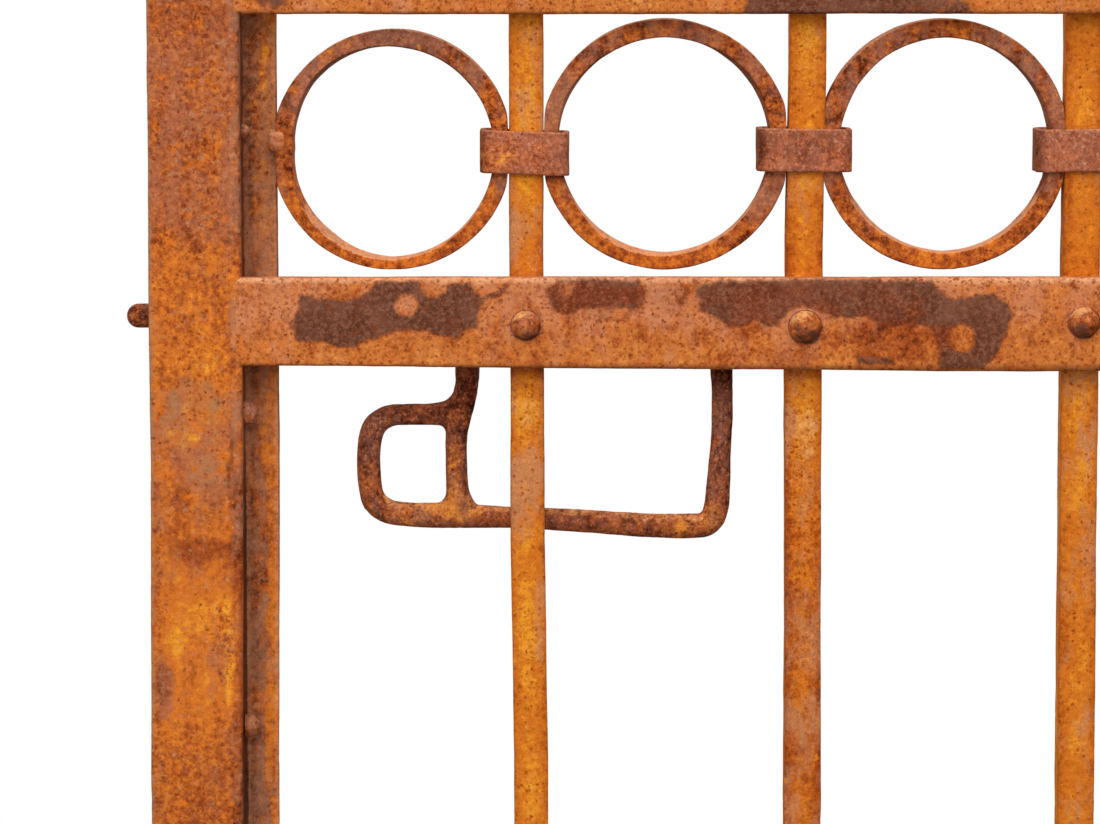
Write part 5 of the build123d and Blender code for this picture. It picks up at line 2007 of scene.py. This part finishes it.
    def _stop_pin(self) -> None:
        """Stop pin: a round pin with rounded ends, along the longest side of its box."""
        box = NodeBox.of("bolt_stop_pin")
        longest = int(np.argmax(box.size))
        axis, across = np.eye(3)[longest], np.eye(3)[(longest + 1) % 3]
        reach = axis * box.size[longest] / 2
        centre = straight(box.middle - reach, box.middle + reach, 0.8, self.pin_round)
        rod = Profile.rod(box.size.min() / 2, 32)
        shell = sweep(rod, centre, across, np.cross(axis, across), end_round=self.pin_round)
        self.smith.forge("bolt_stop_pin", shell, FINE_FORGING, Slot.LATCH, Body.LATCH)

    def _guide(self, node: str, bolt: NodeBox) -> None:
        """Guide: a flat strip bent like a hat over the bolt, with an ear at each end.

        Args:
            node: the frame node.
            bolt: box of the bolt.
        """
        box = NodeBox.of(node)
        ear, crown = box.low[1] + self.strap / 2, box.high[1] - self.strap / 2
        reach, tip = bolt.size[2] / 2 + self.play + self.strap / 2, box.size[2] / 2
        bends = [(ear, -tip, 0.0), (ear, -reach, self.ear_bend), (crown, -reach, self.crown_bend),
                 (crown, reach, self.crown_bend), (ear, reach, self.ear_bend), (ear, tip, 0.0)]
        flat = bent_line(bends, 0.9)
        along = headings(flat)
        centre = np.column_stack([np.full(len(flat), box.middle[0]), flat[:, 0], box.middle[2] + flat[:, 1]])
        out = np.column_stack([np.zeros(len(flat)), along[:, 1], -along[:, 0]])
        shell = sweep(Profile.bar(box.size[0], self.strap, self.strap_corner, 1.0), centre, RIGHT, out)
        self.smith.weather.clouds(shell, 0.2, 0.2, 0.2)
        self.smith.forge(node, shell, FINE_FORGING, Slot.LATCH)

    def _guide_rivets(self, node: str) -> None:
        """Low domes on the ears of a guide.

        Args:
            node: the frame node.
        """
        ear = NodeBox.of("stile_bolt_guide").low[1] + self.strap
        shells = []
        for box in NodeBox.split(node, 2):
            seat = np.array([box.middle[0], ear, box.middle[2]])
            shells.append(dome(seat, BACK, box.size[2] / 2, box.high[1] - ear))
        shell = self.smith.weather.clouds(Shell.join(shells), 0.15, 0.2, 0.2)
        self.smith.forge(node, shell, RIVET_FORGING, Slot.RIVET)


@dataclass(frozen=True)
class Panel:
    """A large square light that faces a point. A radiance of 1 is a white that fills the sky."""

    name: str
    place: Point
    aim: Point
    size: float
    radiance: float

    def build(self) -> None:
        """Hang up the light."""
        data = bpy.data.lights.new(self.name, "AREA")
        data.size = self.size * MM
        data.energy = self.radiance * math.pi * data.size**2
        panel = to_scene(self.name, data)
        panel.location = Vector(self.place) * MM
        panel.rotation_euler = (Vector(self.aim) - Vector(self.place)).to_track_quat("-Z", "Y").to_euler()
        panel.visible_camera = False


PANELS = (
    Panel("overhead", (-500.0, -1200.0, 3200.0), (-500.0, -100.0, 0.0), 5000.0, 1.6),
    Panel("front", (-1300.0, -2700.0, 2100.0), (-700.0, 0.0, 500.0), 2400.0, 1.95),
    Panel("back", (-300.0, 2700.0, 2100.0), (-500.0, 0.0, 400.0), 2400.0, 1.3),
)


@dataclass
class Studio:
    """Camera, light and floor."""

    target: Point = (176.08, -13.0, -39.6)
    distance: float = 2000.0
    pitch: float = 6.5
    focal_px: float = 4545.0
    image_width: float = 1100.0
    sky_light: float = 0.46
    floor_x: float = -500.0
    floor_radius: float = 2600.0
    floor_drop: float = 15.0
    floor_sides: int = 96
    floor_grey: float = 0.93
    bounce_grey: float = 0.3
    fade_start: float = 1300.0
    fade_end: float = 2400.0

    def build(self) -> None:
        """Set up the whole studio."""
        bpy.context.scene.view_settings.view_transform = "Standard"
        self._camera()
        self._sky()
        for panel in PANELS:
            panel.build()
        self._floor()

    def _camera(self) -> None:
        """Camera in front of the lock side, a little above, looking slightly down."""
        data = bpy.data.cameras.new("camera")
        data.sensor_width, data.sensor_fit = 36.0, "HORIZONTAL"
        data.lens = self.focal_px * data.sensor_width / self.image_width
        data.clip_end = 50.0
        camera = to_scene("camera", data)
        down = math.radians(self.pitch)
        toward = Vector((0.0, math.cos(down), -math.sin(down)))
        camera.location = (Vector((EDGE, 0.0, RAIL)) + Vector(self.target) - self.distance * toward) * MM
        camera.rotation_euler = toward.to_track_quat("-Z", "Y").to_euler()
        bpy.context.scene.camera = camera

    def _sky(self) -> None:
        """An even sky that is white where it is seen."""
        world = bpy.data.worlds.new("sky")
        g = Graph.emptied(world)
        strength = g.math("MULTIPLY_ADD", g.seen(), 1.0 - self.sky_light, self.sky_light)
        sky = g.add("ShaderNodeBackground", {"Color": WHITE, "Strength": strength})
        g.add("ShaderNodeOutputWorld", {"Surface": sky.outputs[0]})
        bpy.context.scene.world = world

    def _floor(self) -> None:
        """A pale round floor below the leaf that fades into white, and is darker to light that bounces."""
        turn = np.linspace(0.0, FULL_TURN, self.floor_sides, endpoint=False)
        low = np.full(self.floor_sides, NodeBox.of("lock_stile").low[2] - self.floor_drop)
        x, y = self.floor_x + self.floor_radius * np.cos(turn), self.floor_radius * np.sin(turn)
        mesh = to_mesh("floor", Shell(np.column_stack([x, y, low]), [np.arange(self.floor_sides)[None, :]]))
        floor = to_scene("floor", mesh)
        material = bpy.data.materials.new("pale_floor")
        g = Graph.emptied(material)
        seen = g.seen()
        colour = g.blend(seen, *((grey, grey, grey, 1.0) for grey in (self.bounce_grey, self.floor_grey)))
        at = g.add("ShaderNodeTexCoord").outputs["Object"]
        away = g.add("ShaderNodeVectorMath", {0: at}, operation="LENGTH")
        fade = g.smooth(away.outputs["Value"], self.fade_start * MM, self.fade_end * MM)
        rim = g.math("MULTIPLY", fade, seen)
        shader = g.add("ShaderNodeBsdfPrincipled", {
            "Base Color": g.blend(rim, colour, BLACK),
            "Roughness": 1.0,
            "Specular IOR Level": 0.0,
            "Emission Strength": rim,
            "Emission Color": WHITE,
        })
        g.add("ShaderNodeOutputMaterial", {"Surface": shader.outputs[0]})
        mesh.materials.append(material)


def main() -> None:
    """Build every piece in order, then the studio; the number of points of each piece goes to the log."""
    logging.basicConfig(level=logging.INFO, format="%(name)s %(message)s")
    grain = Grain(26)
    smith = Smith(Workshop(), grain, Weather(grain))
    pieces: list[Piece] = [StileAngles(smith, side) for side in Side]
    pieces += [Rail(smith, "lock_rail", RAIL_HEIGHTS, RAIL_HEADS, drop=0.5)]
    pieces += [Rail(smith, node) for node in ("top_rail", "bottom_rail")]
    pieces += [Upright(smith, number, *bar) for number, bar in enumerate(BARS, 1)]
    pieces += [Ring(smith, number, *ring) for number, ring in enumerate(RINGS, 1)]
    pieces += [Collar(smith, number, *collar) for number, collar in enumerate(COLLARS, 1)]
    pieces += [WeldNugget(smith, node) for node in ("ring_weld_lock", "ring_weld_hinge")]
    pieces += [Latch(smith)]
    for piece in pieces:
        piece.build()
    for node in HINGE_NODES:
        smith.workshop.dress(node, Slot.HINGE)
    Studio().build()


if __name__ == "__main__":
    main()
